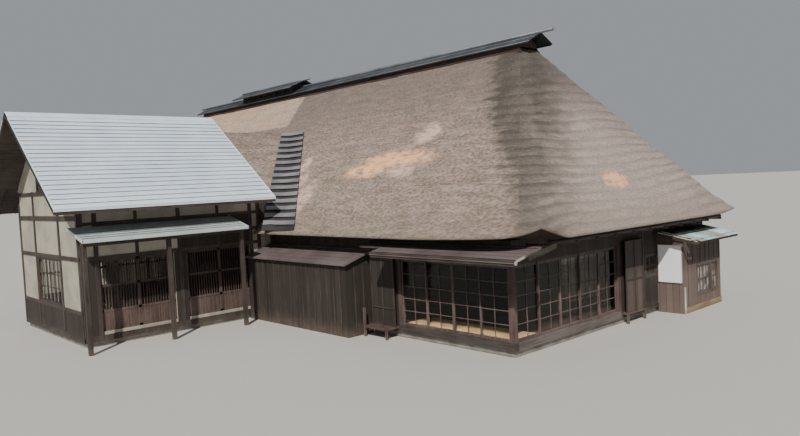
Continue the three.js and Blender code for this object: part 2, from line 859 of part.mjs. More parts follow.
const group = new THREE.Group();
group.add(house);

export default group;
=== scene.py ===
# Thatched farmhouse with an L plan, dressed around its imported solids. The sections follow the house
# from the ground up: stones and floor, veranda, walls, small roofs, thatch, ridge, and the front wing.
import json
import math
import random

import bmesh
import bpy
from mathutils import Matrix, Vector, noise


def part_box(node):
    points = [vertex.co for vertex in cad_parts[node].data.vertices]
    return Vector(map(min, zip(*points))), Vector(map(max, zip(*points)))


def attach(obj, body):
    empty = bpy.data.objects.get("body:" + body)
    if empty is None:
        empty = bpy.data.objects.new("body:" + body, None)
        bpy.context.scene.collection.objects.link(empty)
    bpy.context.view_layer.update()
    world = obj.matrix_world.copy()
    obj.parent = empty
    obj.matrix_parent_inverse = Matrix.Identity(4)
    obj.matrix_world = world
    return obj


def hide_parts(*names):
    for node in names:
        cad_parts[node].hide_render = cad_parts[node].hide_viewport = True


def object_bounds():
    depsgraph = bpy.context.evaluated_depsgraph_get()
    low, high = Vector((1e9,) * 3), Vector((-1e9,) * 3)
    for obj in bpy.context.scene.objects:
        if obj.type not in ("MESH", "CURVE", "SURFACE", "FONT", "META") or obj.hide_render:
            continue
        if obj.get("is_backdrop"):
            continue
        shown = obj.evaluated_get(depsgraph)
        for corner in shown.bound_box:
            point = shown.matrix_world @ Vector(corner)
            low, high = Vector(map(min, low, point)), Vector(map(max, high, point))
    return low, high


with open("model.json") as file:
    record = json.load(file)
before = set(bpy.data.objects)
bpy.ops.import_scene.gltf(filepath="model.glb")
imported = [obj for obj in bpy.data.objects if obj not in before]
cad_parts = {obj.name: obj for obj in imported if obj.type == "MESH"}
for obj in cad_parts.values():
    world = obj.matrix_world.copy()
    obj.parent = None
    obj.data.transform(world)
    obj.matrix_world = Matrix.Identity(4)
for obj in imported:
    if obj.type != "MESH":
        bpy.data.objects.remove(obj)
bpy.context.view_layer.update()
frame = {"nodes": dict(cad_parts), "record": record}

# House corner. Every place below is given from the near corner of the main house, at the underside of
# the veranda sill: x along the ridge, y to the back and z up, all in metres.
post_low, post_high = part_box("corner_post")
house_corner = Vector((post_high.x, post_low.y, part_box("front_sill")[0].z))

# Camera of the photograph: a little over 4 m above the ground, off the glazed corner, turned as the
# vanishing points of the picture show.
camera_place = Vector((9.981, -12.599, 4.015))
heading, tilt, roll = (math.radians(angle) for angle in (47.31, 90 - 2.869, -2.835))


def add_object(name, data):
    made = bpy.data.objects.new(name, data)
    bpy.context.scene.collection.objects.link(made)
    return made


camera_data = bpy.data.cameras.new("photo_camera")
camera_data.sensor_width = 36
camera_data.lens = 31.5
camera = add_object("photo_camera", camera_data)
turn = Matrix.Rotation(heading, 4, "Z") @ Matrix.Rotation(tilt, 4, "X") @ Matrix.Rotation(roll, 4, "Z")
camera.matrix_world = Matrix.Translation(camera_place + house_corner) @ turn
bpy.context.scene.camera = camera

# Studio: a pale plain floor, an even pale sky and one sun to the right of the front, as high as the
# shadows under the eaves show.
sky_strength, sun_strength = 0.37, 4.45
sun_softness, sun_height, sun_side = (math.radians(angle) for angle in (0.7, 43.5, 40))
floor_half, floor_sunk = 400, 0.002

world = bpy.data.worlds.new("soft_sky")
world.use_nodes = True
sky = world.node_tree.nodes["Background"].inputs
sky["Color"].default_value = (0.86, 0.90, 0.96, 1)
sky["Strength"].default_value = sky_strength
bpy.context.scene.world = world

sun_data = bpy.data.lights.new("sun", "SUN")
sun_data.energy = sun_strength
sun_data.angle = sun_softness
sun_data.color = (1.0, 0.95, 0.88)
flat = math.cos(sun_height)
to_sun = Vector((math.sin(sun_side) * flat, -math.cos(sun_side) * flat, math.sin(sun_height)))
add_object("sun", sun_data).rotation_euler = to_sun.to_track_quat("Z", "Y").to_euler()

floor_mesh = bpy.data.meshes.new("studio_floor")
corners = [(floor_half * x, floor_half * y, -floor_sunk) for x, y in ((-1, -1), (1, -1), (1, 1), (-1, 1))]
floor_mesh.from_pydata(corners, [], [(0, 1, 2, 3)])
floor_look = bpy.data.materials.new("studio_floor")
floor_look.use_nodes = True
floor_shader = floor_look.node_tree.nodes["Principled BSDF"].inputs
floor_shader["Base Color"].default_value = (0.50, 0.49, 0.47, 1)
floor_shader["Roughness"].default_value = 0.9
floor_mesh.materials.append(floor_look)
add_object("studio_floor", floor_mesh)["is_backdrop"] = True


# Foundation: a low ring of rough grey stone under the main house and another under the wing, mortared
# in one course. Earth splashed up by rain darkens its foot.
def feed(value, into):
    """Links a socket or a Signal into an input, or sets the input to a plain value."""
    value = getattr(value, "socket", value)
    if isinstance(value, bpy.types.NodeSocket):
        into.id_data.links.new(value, into)
    else:
        into.default_value = value


def add_node(tree, kind, inputs=(), **settings):
    made = tree.nodes.new(kind)
    for name, value in settings.items():
        setattr(made, name, value)
    for key, value in dict(inputs).items():
        feed(value, made.inputs[key])
    return made


def node_sum(operation, turned=False):
    """A sum on a Signal, done by a node that it adds. Turned, the Signal comes second."""

    def work(signal, *other):
        given = (*other, signal) if turned else (signal, *other)
        made = add_node(signal.socket.id_data, signal.kind, enumerate(given), operation=operation)
        return type(signal)(made.outputs[0])

    return work


class Signal:
    """A number or a colour that runs through a node tree, with the sums that can be done on it."""

    kind = "ShaderNodeMath"
    __add__ = node_sum("ADD")
    __sub__ = node_sum("SUBTRACT")
    __rsub__ = node_sum("SUBTRACT", turned=True)
    __mul__ = node_sum("MULTIPLY")
    __truediv__ = node_sum("DIVIDE")
    __rtruediv__ = node_sum("DIVIDE", turned=True)
    __abs__ = node_sum("ABSOLUTE")
    __gt__ = node_sum("GREATER_THAN")
    __lt__ = node_sum("LESS_THAN")
    floor = node_sum("FLOOR")
    fraction = node_sum("FRACT")

    def __init__(self, socket):
        self.socket = socket


class Place(Signal):
    """A place that runs through a tree. Sums with it are worked out on all three axes."""

    kind = "ShaderNodeVectorMath"

    def axis(self, letter):
        return Signal(add_node(self.socket.id_data, "ShaderNodeSeparateXYZ", {0: self}).outputs[letter])


def mixed(share, first, second, blend="MIX"):
    """A colour between two colours, each a Signal or three numbers."""
    tree = next(s.socket.id_data for s in (share, first, second) if isinstance(s, Signal))
    sides = [s if isinstance(s, Signal) else (*s, 1) for s in (first, second)]
    given = {0: share, 6: sides[0], 7: sides[1]}
    return Signal(add_node(tree, "ShaderNodeMix", given, data_type="RGBA", blend_type=blend).outputs[2])


def between(value, low, high):
    """0 where value is at or under low and 1 at or over high, smooth in between."""
    ends = {"Value": value, "From Min": low, "From Max": high}
    made = add_node(value.socket.id_data, "ShaderNodeMapRange", ends, interpolation_type="SMOOTHSTEP")
    return Signal(made.outputs["Result"])


def noise_at(place, scale, detail, rough=0.5, bend=0.0):
    given = {"Vector": place, "Scale": scale, "Detail": detail, "Roughness": rough, "Distortion": bend}
    return Signal(add_node(place.socket.id_data, "ShaderNodeTexNoise", given).outputs["Fac"])


def new_group(name, places, numbers, results):
    """An empty shader group with named sockets, and what runs in through them."""
    tree = bpy.data.node_groups.new(name, "ShaderNodeTree")
    for labels, kind in ((places, "Vector"), (numbers, "Float")):
        for label in labels:
            tree.interface.new_socket(label, in_out="INPUT", socket_type=f"NodeSocket{kind}")
    for label in results:
        tree.interface.new_socket(label, in_out="OUTPUT", socket_type="NodeSocketFloat")
    given = tree.nodes.new("NodeGroupInput").outputs
    return tree, *(Place(given[p]) for p in places), *(Signal(given[n]) for n in numbers)


def end_group(tree, *results):
    add_node(tree, "NodeGroupOutput", enumerate(results))
    return tree


def build_mottle():
    """Broken tone as on stone, plaster and old paint: large clouds with fine grit in them."""
    tree, place, size, grit = new_group("mottle", ["Place"], ["Size", "Grit"], ["Cloud", "Grain"])
    cloud = between(noise_at(place, 1 / size, 4.0), 0.35, 0.65)
    grain = between(noise_at(place, 1 / grit, 5.0, 0.65), 0.3, 0.7)
    return end_group(tree, cloud, grain)


def build_foot_dirt():
    """Splashed earth: strongest at the ground and gone at Reach over it, with a ragged upper edge."""
    tree, place, reach = new_group("foot_dirt", ["Place"], ["Reach"], ["Mask"])
    raised = noise_at(place, 5.0, 5.0) * reach
    return end_group(tree, 1 - between((place.axis("Z") + raised) / reach, 0.3, 1.3))


mottle = build_mottle()
foot_dirt = build_foot_dirt()
earth = (0.17, 0.13, 0.095)


class Look:
    """A material in the making: its shader, the place on the object and the colour laid on so far."""

    def __init__(self, name, roughness, metallic=0.0):
        self.material = bpy.data.materials.new(name)
        self.material.use_nodes = True
        self.tree = self.material.node_tree
        self.shader = self.tree.nodes["Principled BSDF"]
        self.place = Place(add_node(self.tree, "ShaderNodeTexCoord").outputs["Object"])
        self.give("Roughness", roughness)
        self.give("Metallic", metallic)

    def give(self, name, value):
        feed(value, self.shader.inputs[name])

    def use(self, group, **inputs):
        """Places a shared group, at this look's own place unless told otherwise."""
        made = add_node(self.tree, "ShaderNodeGroup", {"Place": self.place, **inputs}, node_tree=group)
        return [Signal(socket) for socket in made.outputs]

    def lay(self, colour, share):
        """Lays a colour over the one so far, as thickly as share says."""
        self.colour = mixed(share, self.colour, colour)

    def splash(self, reach, share, colour=earth):
        self.lay(colour, self.use(foot_dirt, Reach=reach)[0] * share)

    def done(self, height=None, depth=0.0, strength=1.0):
        """Gives the shader its colour, and a surface that height raises by up to depth."""
        self.give("Base Color", self.colour)
        if height:
            given = {"Height": height, "Distance": depth, "Strength": strength}
            self.give("Normal", add_node(self.tree, "ShaderNodeBump", given).outputs["Normal"])
        return self.material


def build_stone():
    look = Look("rough_stone", 0.92)
    cloud, grit = look.use(mottle, Size=0.35, Grit=0.03)
    look.colour = mixed(cloud, (0.25, 0.235, 0.21), (0.42, 0.40, 0.36))
    look.lay((0.10, 0.095, 0.09), grit * 0.35)
    look.splash(0.12, 0.6)
    return look.done(cloud + grit, 0.012)


def dress(look, *names):
    """Gives CAD nodes a finished material in place of their plain one."""
    for name in names:
        mesh = frame["nodes"][name].data
        mesh.materials.clear()
        mesh.materials.append(look)


dress(build_stone(), "main_plinth", "wing_plinth")


# House floor: brown boards laid along the ridge over the whole house, worn dull, with thin dark joints
# between them.
floor_board_wide = 0.15
grain_along = {"x": (1.2, 26.0, 26.0), "z": (26.0, 26.0, 1.2)}


def build_grain():
    """Wood grain: fine fibres drawn out along the piece. Stretch is large across the grain."""
    tree, place, stretch = new_group("wood_grain", ["Place", "Stretch"], [], ["Fibre", "Streak"])
    drawn = place * stretch
    fibre = between(noise_at(drawn, 5.0, 5.0, 0.7, 0.3), 0.3, 0.7)
    return end_group(tree, fibre, between(noise_at(drawn, 0.9, 3.0), 0.35, 0.65))


wood_grain = build_grain()


def board_tone(along):
    """A tone of its own for each board, where along counts the boards."""
    board = {"W": along.floor()}
    tone = add_node(along.socket.id_data, "ShaderNodeTexWhiteNoise", board, noise_dimensions="1D")
    return Signal(tone.outputs["Value"])


def build_floor_boards():
    look = Look("floor_boards", 0.55)
    fibre = look.use(wood_grain, Stretch=grain_along["x"])[0]
    across = look.place.axis("Y") / floor_board_wide
    look.colour = mixed(board_tone(across), (0.060, 0.042, 0.036), (0.105, 0.078, 0.068))
    look.lay((0.035, 0.024, 0.020), fibre * 0.4)
    look.lay((0.012, 0.009, 0.008), across.fraction() < 0.03)
    return look.done()


dress(build_floor_boards(), "house_floor")


# Veranda frame: weathered sills on the stone, red-brown posts, and a dark board wall over the doors.
# The sills carry grooved tracks in which the door leaves slide.
upright = grain_along["z"]
level = (1.6, 1.6, 30.0)
joint_wide = 0.009
track_wide, track_depths = 0.012, (0.045, 0.081)
sill_top = 0.2


def times(colour, share):
    return [c * share for c in colour]


def paint_upper_shade(look, dark, amount):
    """Darkens timber from about 1.2 m up: painted shade, as cast by the eaves and the awning over the upper
    part.
    """
    look.lay(times(dark, 0.3), between(look.place.axis("Z"), 1.05, 1.6) * amount)


def timber_look(name, dark, pale, stretch, roughness=0.72, reach=0.35, upper_shade=0.0):
    """Weathered timber with grain drawn out along one axis and a dirty foot."""
    look = Look(name, roughness)
    fibre, streak = look.use(wood_grain, Stretch=stretch)
    look.colour = mixed(streak, dark, pale)
    look.lay(times(dark, 0.45), fibre * 0.45)
    bleached = [min(1.0, c * 1.6 + 0.03) for c in pale]
    look.lay(bleached, look.use(mottle, Size=0.7, Grit=0.02)[0] * 0.25)
    # Painted shade over the timber from about 1.2 m up.
    paint_upper_shade(look, dark, upper_shade)
    look.splash(reach, 0.55)
    look.give("Roughness", fibre * 0.2 + (roughness - 0.1))
    return look.done(fibre, 0.003)


def boards_look(name, dark, pale, wide, upper_shade=0.0):
    """Upright boards side by side: each has its own tone, and a thin dark joint lies between."""
    look = Look(name, 0.8)
    along = (look.place.axis("X") + look.place.axis("Y")) / wide
    fibre = look.use(wood_grain, Stretch=upright)[0]
    look.colour = mixed(board_tone(along) * 0.6 + 0.1, dark, pale)
    look.lay(times(dark, 0.5), fibre * 0.4)
    # Painted shade over the boards from about 1.2 m up.
    paint_upper_shade(look, dark, upper_shade)
    joint = along.fraction() < joint_wide / wide
    look.lay(times(dark, 0.25), joint)
    look.splash(0.6, 0.5)
    return look.done(fibre * 0.4 - joint, 0.006)


class Shape:
    """Points and faces of a piece, given from the house corner."""

    def __init__(self):
        self.points = []
        self.faces = []

    def box(self, low, high):
        start = len(self.points)
        (x0, y0, z0), (x1, y1, z1) = low, high
        self.points += [(x, y, z) for z in (z0, z1) for y in (y0, y1) for x in (x0, x1)]
        sides = [(0, 2, 3, 1), (4, 5, 7, 6), (0, 1, 5, 4), (2, 6, 7, 3), (0, 4, 6, 2), (1, 3, 7, 5)]
        self.faces += [tuple(start + i for i in side) for side in sides]
        return self

    def slab(self, wall, along, height, depth):
        """A box on a wall. wall is "front" for one that runs along x, and any other runs along y."""
        a, d, z = along, sorted(depth), height
        if wall == "front":
            return self.box((a[0], d[0], z[0]), (a[1], d[1], z[1]))
        return self.box((d[0], a[0], z[0]), (d[1], a[1], z[1]))

    def uprights(self, wall, middles, wide, height, depth):
        """Slabs of one width side by side."""
        for middle in middles:
            self.slab(wall, (middle - wide / 2, middle + wide / 2), height, depth)
        return self

    def rails(self, wall, along, feet, tall, depth):
        """Slabs of one height, one over the other."""
        for foot in feet:
            self.slab(wall, along, (foot, foot + tall), depth)
        return self

    def loft(self, rings):
        """Skins rings of points with the same count, and closes both ends with a face."""
        start = len(self.points)
        count = len(rings[0])
        self.points += [point for ring in rings for point in ring]
        last = start + (len(rings) - 1) * count
        for ring_start in range(start, last, count):
            for j in range(count):
                a, b = ring_start + j, ring_start + (j + 1) % count
                self.faces.append((a, b, b + count, a + count))
        self.faces.append(tuple(reversed(range(start, start + count))))
        self.faces.append(tuple(range(last, last + count)))
        return self

    def along_x(self, section, x0, x1):
        """A straight piece with a section of (y, z) points."""
        return self.loft([[(x, y, z) for y, z in section] for x in (x0, x1)])

    def along_y(self, section, y0, y1):
        """A straight piece with a section of (x, z) points."""
        return self.loft([[(x, y, z) for x, z in section] for y in (y0, y1)])

    def pole(self, start, end, radius, sides):
        """A straight round pole."""
        axis = (Vector(end) - Vector(start)).normalized()
        side = axis.orthogonal().normalized()
        other = axis.cross(side)
        turns = [2 * math.pi * k / sides for k in range(sides)]
        round_axis = [radius * (side * math.cos(t) + other * math.sin(t)) for t in turns]
        return self.loft([[tuple(Vector(middle) + p) for p in round_axis] for middle in (start, end)])


def mesh_of(name, shape, look):
    mesh = bpy.data.meshes.new(name)
    mesh.from_pydata([Vector(p) + house_corner for p in shape.points], [], shape.faces)
    mesh.materials.append(look)
    outward = bmesh.new()
    outward.from_mesh(mesh)
    bmesh.ops.recalc_face_normals(outward, faces=outward.faces)
    outward.to_mesh(mesh)
    outward.free()
    return mesh


def place_piece(name, mesh, slot, body="house", bevel=0.0, smooth=False):
    """Links a finished mesh as a piece that rides on a body."""
    piece = add_object(name, mesh)
    if smooth:
        mesh.polygons.foreach_set("use_smooth", [True] * len(mesh.polygons))
    if bevel:
        edge = piece.modifiers.new("worn_edge", "BEVEL")
        edge.width = bevel
        edge.segments = 1
        edge.limit_method = "ANGLE"
    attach(piece, body)
    return piece


def make_piece(name, shape, look, slot, **options):
    return place_piece(name, mesh_of(name, shape, look), slot, **options)


brown_sill = timber_look("brown_sill", (0.030, 0.024, 0.021), (0.066, 0.053, 0.047), level, reach=0.12)
grey_sill = timber_look("grey_sill", (0.085, 0.069, 0.063), (0.16, 0.138, 0.129), level)
post_tones = ((0.060, 0.037, 0.031), (0.135, 0.090, 0.077))
# The posts get painted shade on their upper part.
post_timber = timber_look("red_brown_post", *post_tones, upright, upper_shade=0.6)
dark_timber = ((0.026, 0.019, 0.016), (0.066, 0.048, 0.040))
dark_upright = timber_look("dark_upright", *dark_timber, upright)
dark_level = timber_look("dark_level", *dark_timber, level)
dark_boards = boards_look("dark_boards", (0.022, 0.017, 0.014), (0.062, 0.047, 0.038), 0.24)

dress(brown_sill, "front_sill")
dress(grey_sill, "east_sill")
dress(post_timber, "corner_post", "front_left_post", "east_end_post")
dress(dark_boards, "front_upper_wall", "east_upper_wall")

tracks = Shape()
for depth in track_depths:
    near, far = depth - track_wide / 2, depth + track_wide / 2
    tracks.slab("front", (-3.76, -0.14), (sill_top, sill_top + 0.004), (near, far))
    tracks.slab("side", (0.14, 4.58), (sill_top, sill_top + 0.004), (-near, -far))
make_piece("door_tracks", tracks, post_timber, "red_timber")


# Straw mats: one row of woven rush mats on the floor behind the front doors, with a dark cloth band
# along both long edges. The sun reaches them through the glass.
mat_middle, mat_wide, mat_band, mat_thick = 0.575, 0.91, 0.03, 0.05


def build_matting():
    look = Look("straw_matting", 0.75)
    given = {"Vector": look.place, "Scale": 22.0, "Distortion": 0.6}
    rush = Signal(add_node(look.tree, "ShaderNodeTexWave", given).outputs["Fac"])
    cloud = look.use(mottle, Size=0.9, Grit=0.02)[0]
    look.colour = mixed(cloud, (0.60, 0.41, 0.22), (0.74, 0.53, 0.30))
    look.lay((0.34, 0.21, 0.11), rush * 0.2)
    from_middle = abs((look.place - house_corner).axis("Y") - mat_middle)
    look.lay((0.030, 0.034, 0.026), from_middle > mat_wide / 2 - mat_band)
    return look.done(rush, 0.002)


straw_mats = Shape()
for ends in ((-3.72, -1.94), (-1.935, -0.155)):
    deep = (mat_middle - mat_wide / 2, mat_middle + mat_wide / 2)
    straw_mats.slab("front", ends, (sill_top, sill_top + mat_thick), deep)
make_piece("straw_mats", straw_mats, build_matting(), "floor_board", bevel=0.004)


# Sliding doors: four leaves in front and five on the east side, light red-brown lattices with one pane
# sheet behind the bars, held by a thin putty bead all round.
leaf_tones = ((0.066, 0.043, 0.037), (0.155, 0.110, 0.097))
# The door leaves get painted shade on their upper part.
leaf_timber = timber_look("red_brown_leaf", *leaf_tones, upright, 0.6, upper_shade=0.55)
glass_thick, glass_deep = 0.003, 0.0205
rail_low, rail_high, stile = 0.066, 0.070, 0.036


def build_glass():
    """Old thin float glass, a little uneven. Lamps shine through it and light what is behind."""
    look = Look("old_glass", 0.03)
    look.colour = (0.68, 0.67, 0.62, 1)
    look.give("Transmission Weight", 1.0)
    look.give("IOR", 1.22)
    look.done(look.use(mottle, Size=0.5, Grit=0.05)[0], 0.002, 0.15)
    clear = add_node(look.tree, "ShaderNodeBsdfTransparent").outputs[0]
    to_lamp = add_node(look.tree, "ShaderNodeLightPath").outputs["Is Shadow Ray"]
    both = add_node(look.tree, "ShaderNodeMixShader", {0: to_lamp, 1: look.shader.outputs[0], 2: clear})
    feed(both.outputs[0], look.tree.nodes["Material Output"].inputs["Surface"])
    return look.material


def node_box(name):
    """The low and high corners of a CAD node, from the house corner."""
    low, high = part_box(name)
    return low - house_corner, high - house_corner


old_glass = build_glass()
body_of = {node: body for body, nodes in frame["record"]["behaviour"]["bodies"].items() for node in nodes}
for wall, count in (("front", 4), ("east", 5)):
    for i in range(1, count + 1):
        name = f"{wall}_leaf_{i}"
        low, high = node_box(name)
        axis, face, inward = (0, low.y, 1) if wall == "front" else (1, high.x, -1)
        span = (low[axis] + stile, high[axis] - stile)
        depth = (face + inward * glass_deep, face + inward * (glass_deep + glass_thick))
        pane = Shape().slab(wall, span, (low.z + rail_low, high.z - rail_high), depth)
        dress(leaf_timber, name)
        make_piece(f"{name}_glass", pane, old_glass, "glass", body=body_of[name])


# Paper screens: a pair of wooden screens covered with paper, half a ken behind the east doors. Thin
# bars hold the paper and a darker board fills the foot.
screen_start, screen_end, screen_bays = 3.45, 5.30, 8
screen_face = -0.91


def build_paper():
    look = Look("screen_paper", 0.85)
    cloud, grain = look.use(mottle, Size=0.6, Grit=0.015)
    look.colour = mixed(cloud, (0.15, 0.15, 0.11), (0.21, 0.205, 0.16))
    # Above about 1.75 m the paper is painted much paler: painted light on its upper part.
    look.lay((0.50, 0.51, 0.49), between(look.place.axis("Z"), 1.72, 1.78))
    return look.done(grain, 0.001)


dress(build_paper(), "paper_screens")
screen_bars = Shape()
for i in range(screen_bays + 1):
    middle = screen_start + i * (screen_end - screen_start) / screen_bays
    wide = 0.04 if i % 4 == 0 else 0.014
    screen_bars.uprights("side", [middle], wide, (0.22, 1.96), (screen_face, -0.895))
screen_ends = (screen_start, screen_end)
screen_bars.rails("side", screen_ends, (0.22, 0.60, 0.98, 1.36, 1.62, 1.92), 0.02, (screen_face, -0.897))
screen_bars.slab("side", screen_ends, (0.22, 0.52), (screen_face, -0.9))
make_piece("paper_screen_bars", screen_bars, dark_upright, "dark_timber")


# Walls of the main house: dark upright boards with a cover batten over each joint, between a foot
# board and the wall plate. The batten rows stop round the windows.
batten_wide, batten_thick, batten_step = 0.036, 0.016, 0.303
wall_foot, wall_head = 0.12, 2.56
house_west, house_back = -25.8, 9.9
window_low, window_high = 0.9, 2.0


def build_row_tree():
    """Repeats a part in a straight row."""
    tree = bpy.data.node_groups.new("row_of_parts", "GeometryNodeTree")
    for label, kind in (("Part", "Geometry"), ("Count", "Int"), ("Step", "Vector"), ("Finish", "Material")):
        tree.interface.new_socket(label, in_out="INPUT", socket_type=f"NodeSocket{kind}")
    tree.interface.new_socket("Row", in_out="OUTPUT", socket_type="NodeSocketGeometry")
    part, count, step, finish = list(tree.nodes.new("NodeGroupInput").outputs)[:4]
    line = add_node(tree, "GeometryNodeMeshLine", {"Count": count, "Offset": step}).outputs[0]
    copies = add_node(tree, "GeometryNodeInstanceOnPoints", {"Points": line, "Instance": part}).outputs[0]
    real = add_node(tree, "GeometryNodeRealizeInstances", {"Geometry": copies}).outputs[0]
    finished = add_node(tree, "GeometryNodeSetMaterial", {"Geometry": real, "Material": finish})
    add_node(tree, "NodeGroupOutput", {0: finished.outputs[0]})
    return tree


row_tree = build_row_tree()
row_sockets = {s.name: s.identifier for s in row_tree.interface.items_tree if s.in_out == "INPUT"}


def row_mesh(name, shape, count, step, look):
    """The mesh of a part repeated count times, step apart, by the row tree."""
    part = add_object(name, mesh_of(name, shape, look))
    row = part.modifiers.new("row", "NODES")
    row.node_group = row_tree
    for label, value in (("Count", count), ("Step", Vector(step)), ("Finish", look)):
        row[row_sockets[label]] = value
    bpy.context.view_layer.update()
    seen = part.evaluated_get(bpy.context.evaluated_depsgraph_get())
    mesh = bpy.data.meshes.new_from_object(seen)
    mesh.name = name
    bpy.data.objects.remove(part)
    return mesh


def make_rows(name, rows, look, slot):
    """One piece from several rows, each (shape, count, step)."""
    together = bmesh.new()
    for shape, count, step in rows:
        together.from_mesh(row_mesh(name, shape, count, step, look))
    mesh = bpy.data.meshes.new(name)
    together.to_mesh(mesh)
    together.free()
    mesh.materials.append(look)
    return place_piece(name, mesh, slot)


def battens(name, wall, spans, face, out, look=dark_upright, slot="dark_board"):
    """Cover battens on a wall. Each span is (from, to, low, high), and face is the wall's own face."""
    rows = []
    for start, end, low, high in spans:
        count = max(1, int((end - start) / batten_step))
        first = (start + end - (count - 1) * batten_step) / 2
        one = Shape().uprights(wall, [first], batten_wide, (low, high), (face, face + out * batten_thick))
        rows.append((one, count, (batten_step, 0, 0) if wall == "front" else (0, batten_step, 0)))
    make_rows(name, rows, look, slot)


def round_windows(start, end, windows):
    """Batten spans of a whole wall: full ones beside its windows, short ones under and over each."""
    edges = [start, *[edge for window in windows for edge in window], end]
    spans = [(a + 0.05, b - 0.05, wall_foot, wall_head) for a, b in zip(edges[::2], edges[1::2])]
    for a, b in windows:
        spans.append((a + 0.1, b - 0.1, wall_foot, window_low - 0.04))
        spans.append((a + 0.1, b - 0.1, window_high + 0.04, wall_head))
    return spans


dress(dark_boards, "front_wall", "front_wall_west", "back_wall", "west_wall", "east_wall")
dress(dark_level, "passage_beam")
back_windows = [(-21.3, -18.7), (-13.8, -11.2), (-6.3, -3.7)]
front_window, west_window = (-22.0, -19.4), (3.65, 6.25)
front_west_end = -15.7
battens("back_battens", "front", round_windows(house_west, 0.0, back_windows), house_back, 1)
battens("front_west_battens", "front", round_windows(house_west, front_west_end, [front_window]), 0.0, -1)
battens("west_battens", "side", round_windows(0.0, house_back, [west_window]), house_west, -1)
east_spans = [(5.78, 6.08, wall_foot, wall_head), (6.76, 9.8, 2.24, wall_head), (9.3, 9.85, wall_foot, 2.1)]
battens("east_battens", "side", east_spans, 0.0, 1)

foot_tall, foot_thick = 0.1, 0.025
foot_boards = Shape()
foot_boards.slab("front", (house_west, 0.0), (0.0, foot_tall), (house_back, house_back + foot_thick))
foot_boards.slab("front", (house_west, front_west_end - 0.02), (0.0, foot_tall), (-foot_thick, 0.0))
foot_boards.slab("side", (0.0, house_back), (0.0, foot_tall), (house_west - foot_thick, house_west))
for span in ((5.72, 6.79), (9.26, house_back)):
    foot_boards.slab("side", span, (0.0, foot_tall), (0.0, foot_thick))
make_piece("wall_foot_boards", foot_boards, dark_level, "dark_timber", bevel=0.003)


# Windows of the main house: sliding sashes of dark wood in a thin frame, twelve panes to a sash, and a
# small barred opening in the east wall.
case_wide, case_lap, case_proud = 0.05, 0.01, 0.012
pane_deep = 0.034


def add_sash(frames, panes, wall, along, height, face, out, columns, rows, rim=0.05, bar=0.018):
    """A frame with bars set into an opening, and its pane. face is the wall's outer face."""
    (a0, a1), (z0, z1) = along, height
    outer = (face + out * case_proud, face - out * 0.05)
    inner = (face - out * 0.006, face - out * 0.03)
    over = case_wide - case_lap
    for foot in (z1 - case_lap, z0 - case_wide):
        frames.slab(wall, (a0 - over, a1 + over), (foot, foot + case_wide + case_lap), outer)
    for start in (a0 - over, a1 - case_lap):
        frames.slab(wall, (start, start + case_wide), height, outer)
    frames.rails(wall, along, (z0, z1 - rim), rim, inner)
    tall = (z0 + rim, z1 - rim)
    for i in range(columns + 1):
        wide = rim if i in (0, columns) or (columns > 3 and i == columns // 2) else bar
        start = min(max(a0 + (a1 - a0) * i / columns - wide / 2, a0), a1 - wide)
        frames.slab(wall, (start, start + wide), tall, inner)
    feet = [tall[0] + (tall[1] - tall[0]) * i / rows - bar / 2 for i in range(1, rows)]
    frames.rails(wall, (a0 + rim, a1 - rim), feet, bar, inner)
    sheet = (face - out * pane_deep, face - out * (pane_deep + glass_thick))
    panes.slab(wall, (a0 + 0.01, a1 - 0.01), (z0 + 0.01, z1 - 0.01), sheet)


sash_frames, sash_panes = Shape(), Shape()
house_windows = [("front", window, house_back, 1) for window in back_windows]
house_windows += [("front", front_window, 0.0, -1), ("side", west_window, house_west, -1)]
for wall, window, face, out in house_windows:
    add_sash(sash_frames, sash_panes, wall, window, (window_low, window_high), face, out, 8, 3)
make_piece("house_window_frames", sash_frames, dark_upright, "dark_timber", bevel=0.002)
make_piece("house_window_panes", sash_panes, old_glass, "glass")

lattice_frame, lattice_pane = Shape(), Shape()
add_sash(lattice_frame, lattice_pane, "side", (6.12, 6.72), (0.98, 1.56), 0.0, 1, 7, 2, 0.04, 0.022)
make_piece("east_window_bars", lattice_frame, dark_upright, "dark_timber", bevel=0.002)
make_piece("east_window_pane", lattice_pane, old_glass, "glass")


# Shutter cases and side deck: thin board boxes nailed to the walls beside the doors, where the rain
# shutters are kept. Narrow battens cover the joints of their boards.
# The east case boards get painted shade on their upper part.
case_boards = boards_look("case_boards", (0.078, 0.055, 0.047), (0.165, 0.128, 0.112), 0.235, upper_shade=0.65)
dress(case_boards, "east_shutter_case")
dress(dark_boards, "front_shutter_case")
dress(post_timber, "side_deck")

case_trim = Shape().uprights("side", (4.755, 5.23, 5.69), batten_wide, (0.16, 2.12), (0.150, 0.168))
case_trim.rails("side", (4.75, 5.71), (1.03, 2.09), 0.035, (0.150, 0.172))
make_piece("east_case_battens", case_trim, dark_upright, "dark_timber", bevel=0.002)

front_trim = Shape().uprights("front", (-4.83, -4.38, -3.93), batten_wide, (0.16, 1.99), (-0.148, -0.13))
front_trim.rails("front", (-4.84, -3.92), (0.62, 1.95), 0.035, (-0.152, -0.13))
make_piece("front_case_battens", front_trim, dark_upright, "dark_timber", bevel=0.002)


# Lean-to roof over the front doors: brown-mauve sheet metal in level courses on rafters, with a folded
# flashing along the wall, a turned-down hem at the eave and a paler tip on its verge.
def metal_look(name, dark, pale, roughness, metallic=0.0, rust=0.0):
    """Painted sheet metal, faded in clouds, with rain streaks and a few rusty spots."""
    look = Look(name, roughness, metallic)
    cloud, grain = look.use(mottle, Size=1.1, Grit=0.05)
    look.colour = mixed(cloud, dark, pale)
    look.lay(times(dark, 0.7), look.use(wood_grain, Stretch=(3.0, 3.0, 0.5))[0] * 0.25)
    look.lay((0.16, 0.07, 0.035), between(noise_at(look.place, 7.0, 6.0), 0.62, 0.72) * rust)
    look.give("Roughness", grain * 0.18 + (roughness - 0.08))
    return look.done(cloud, 0.006, 0.35)


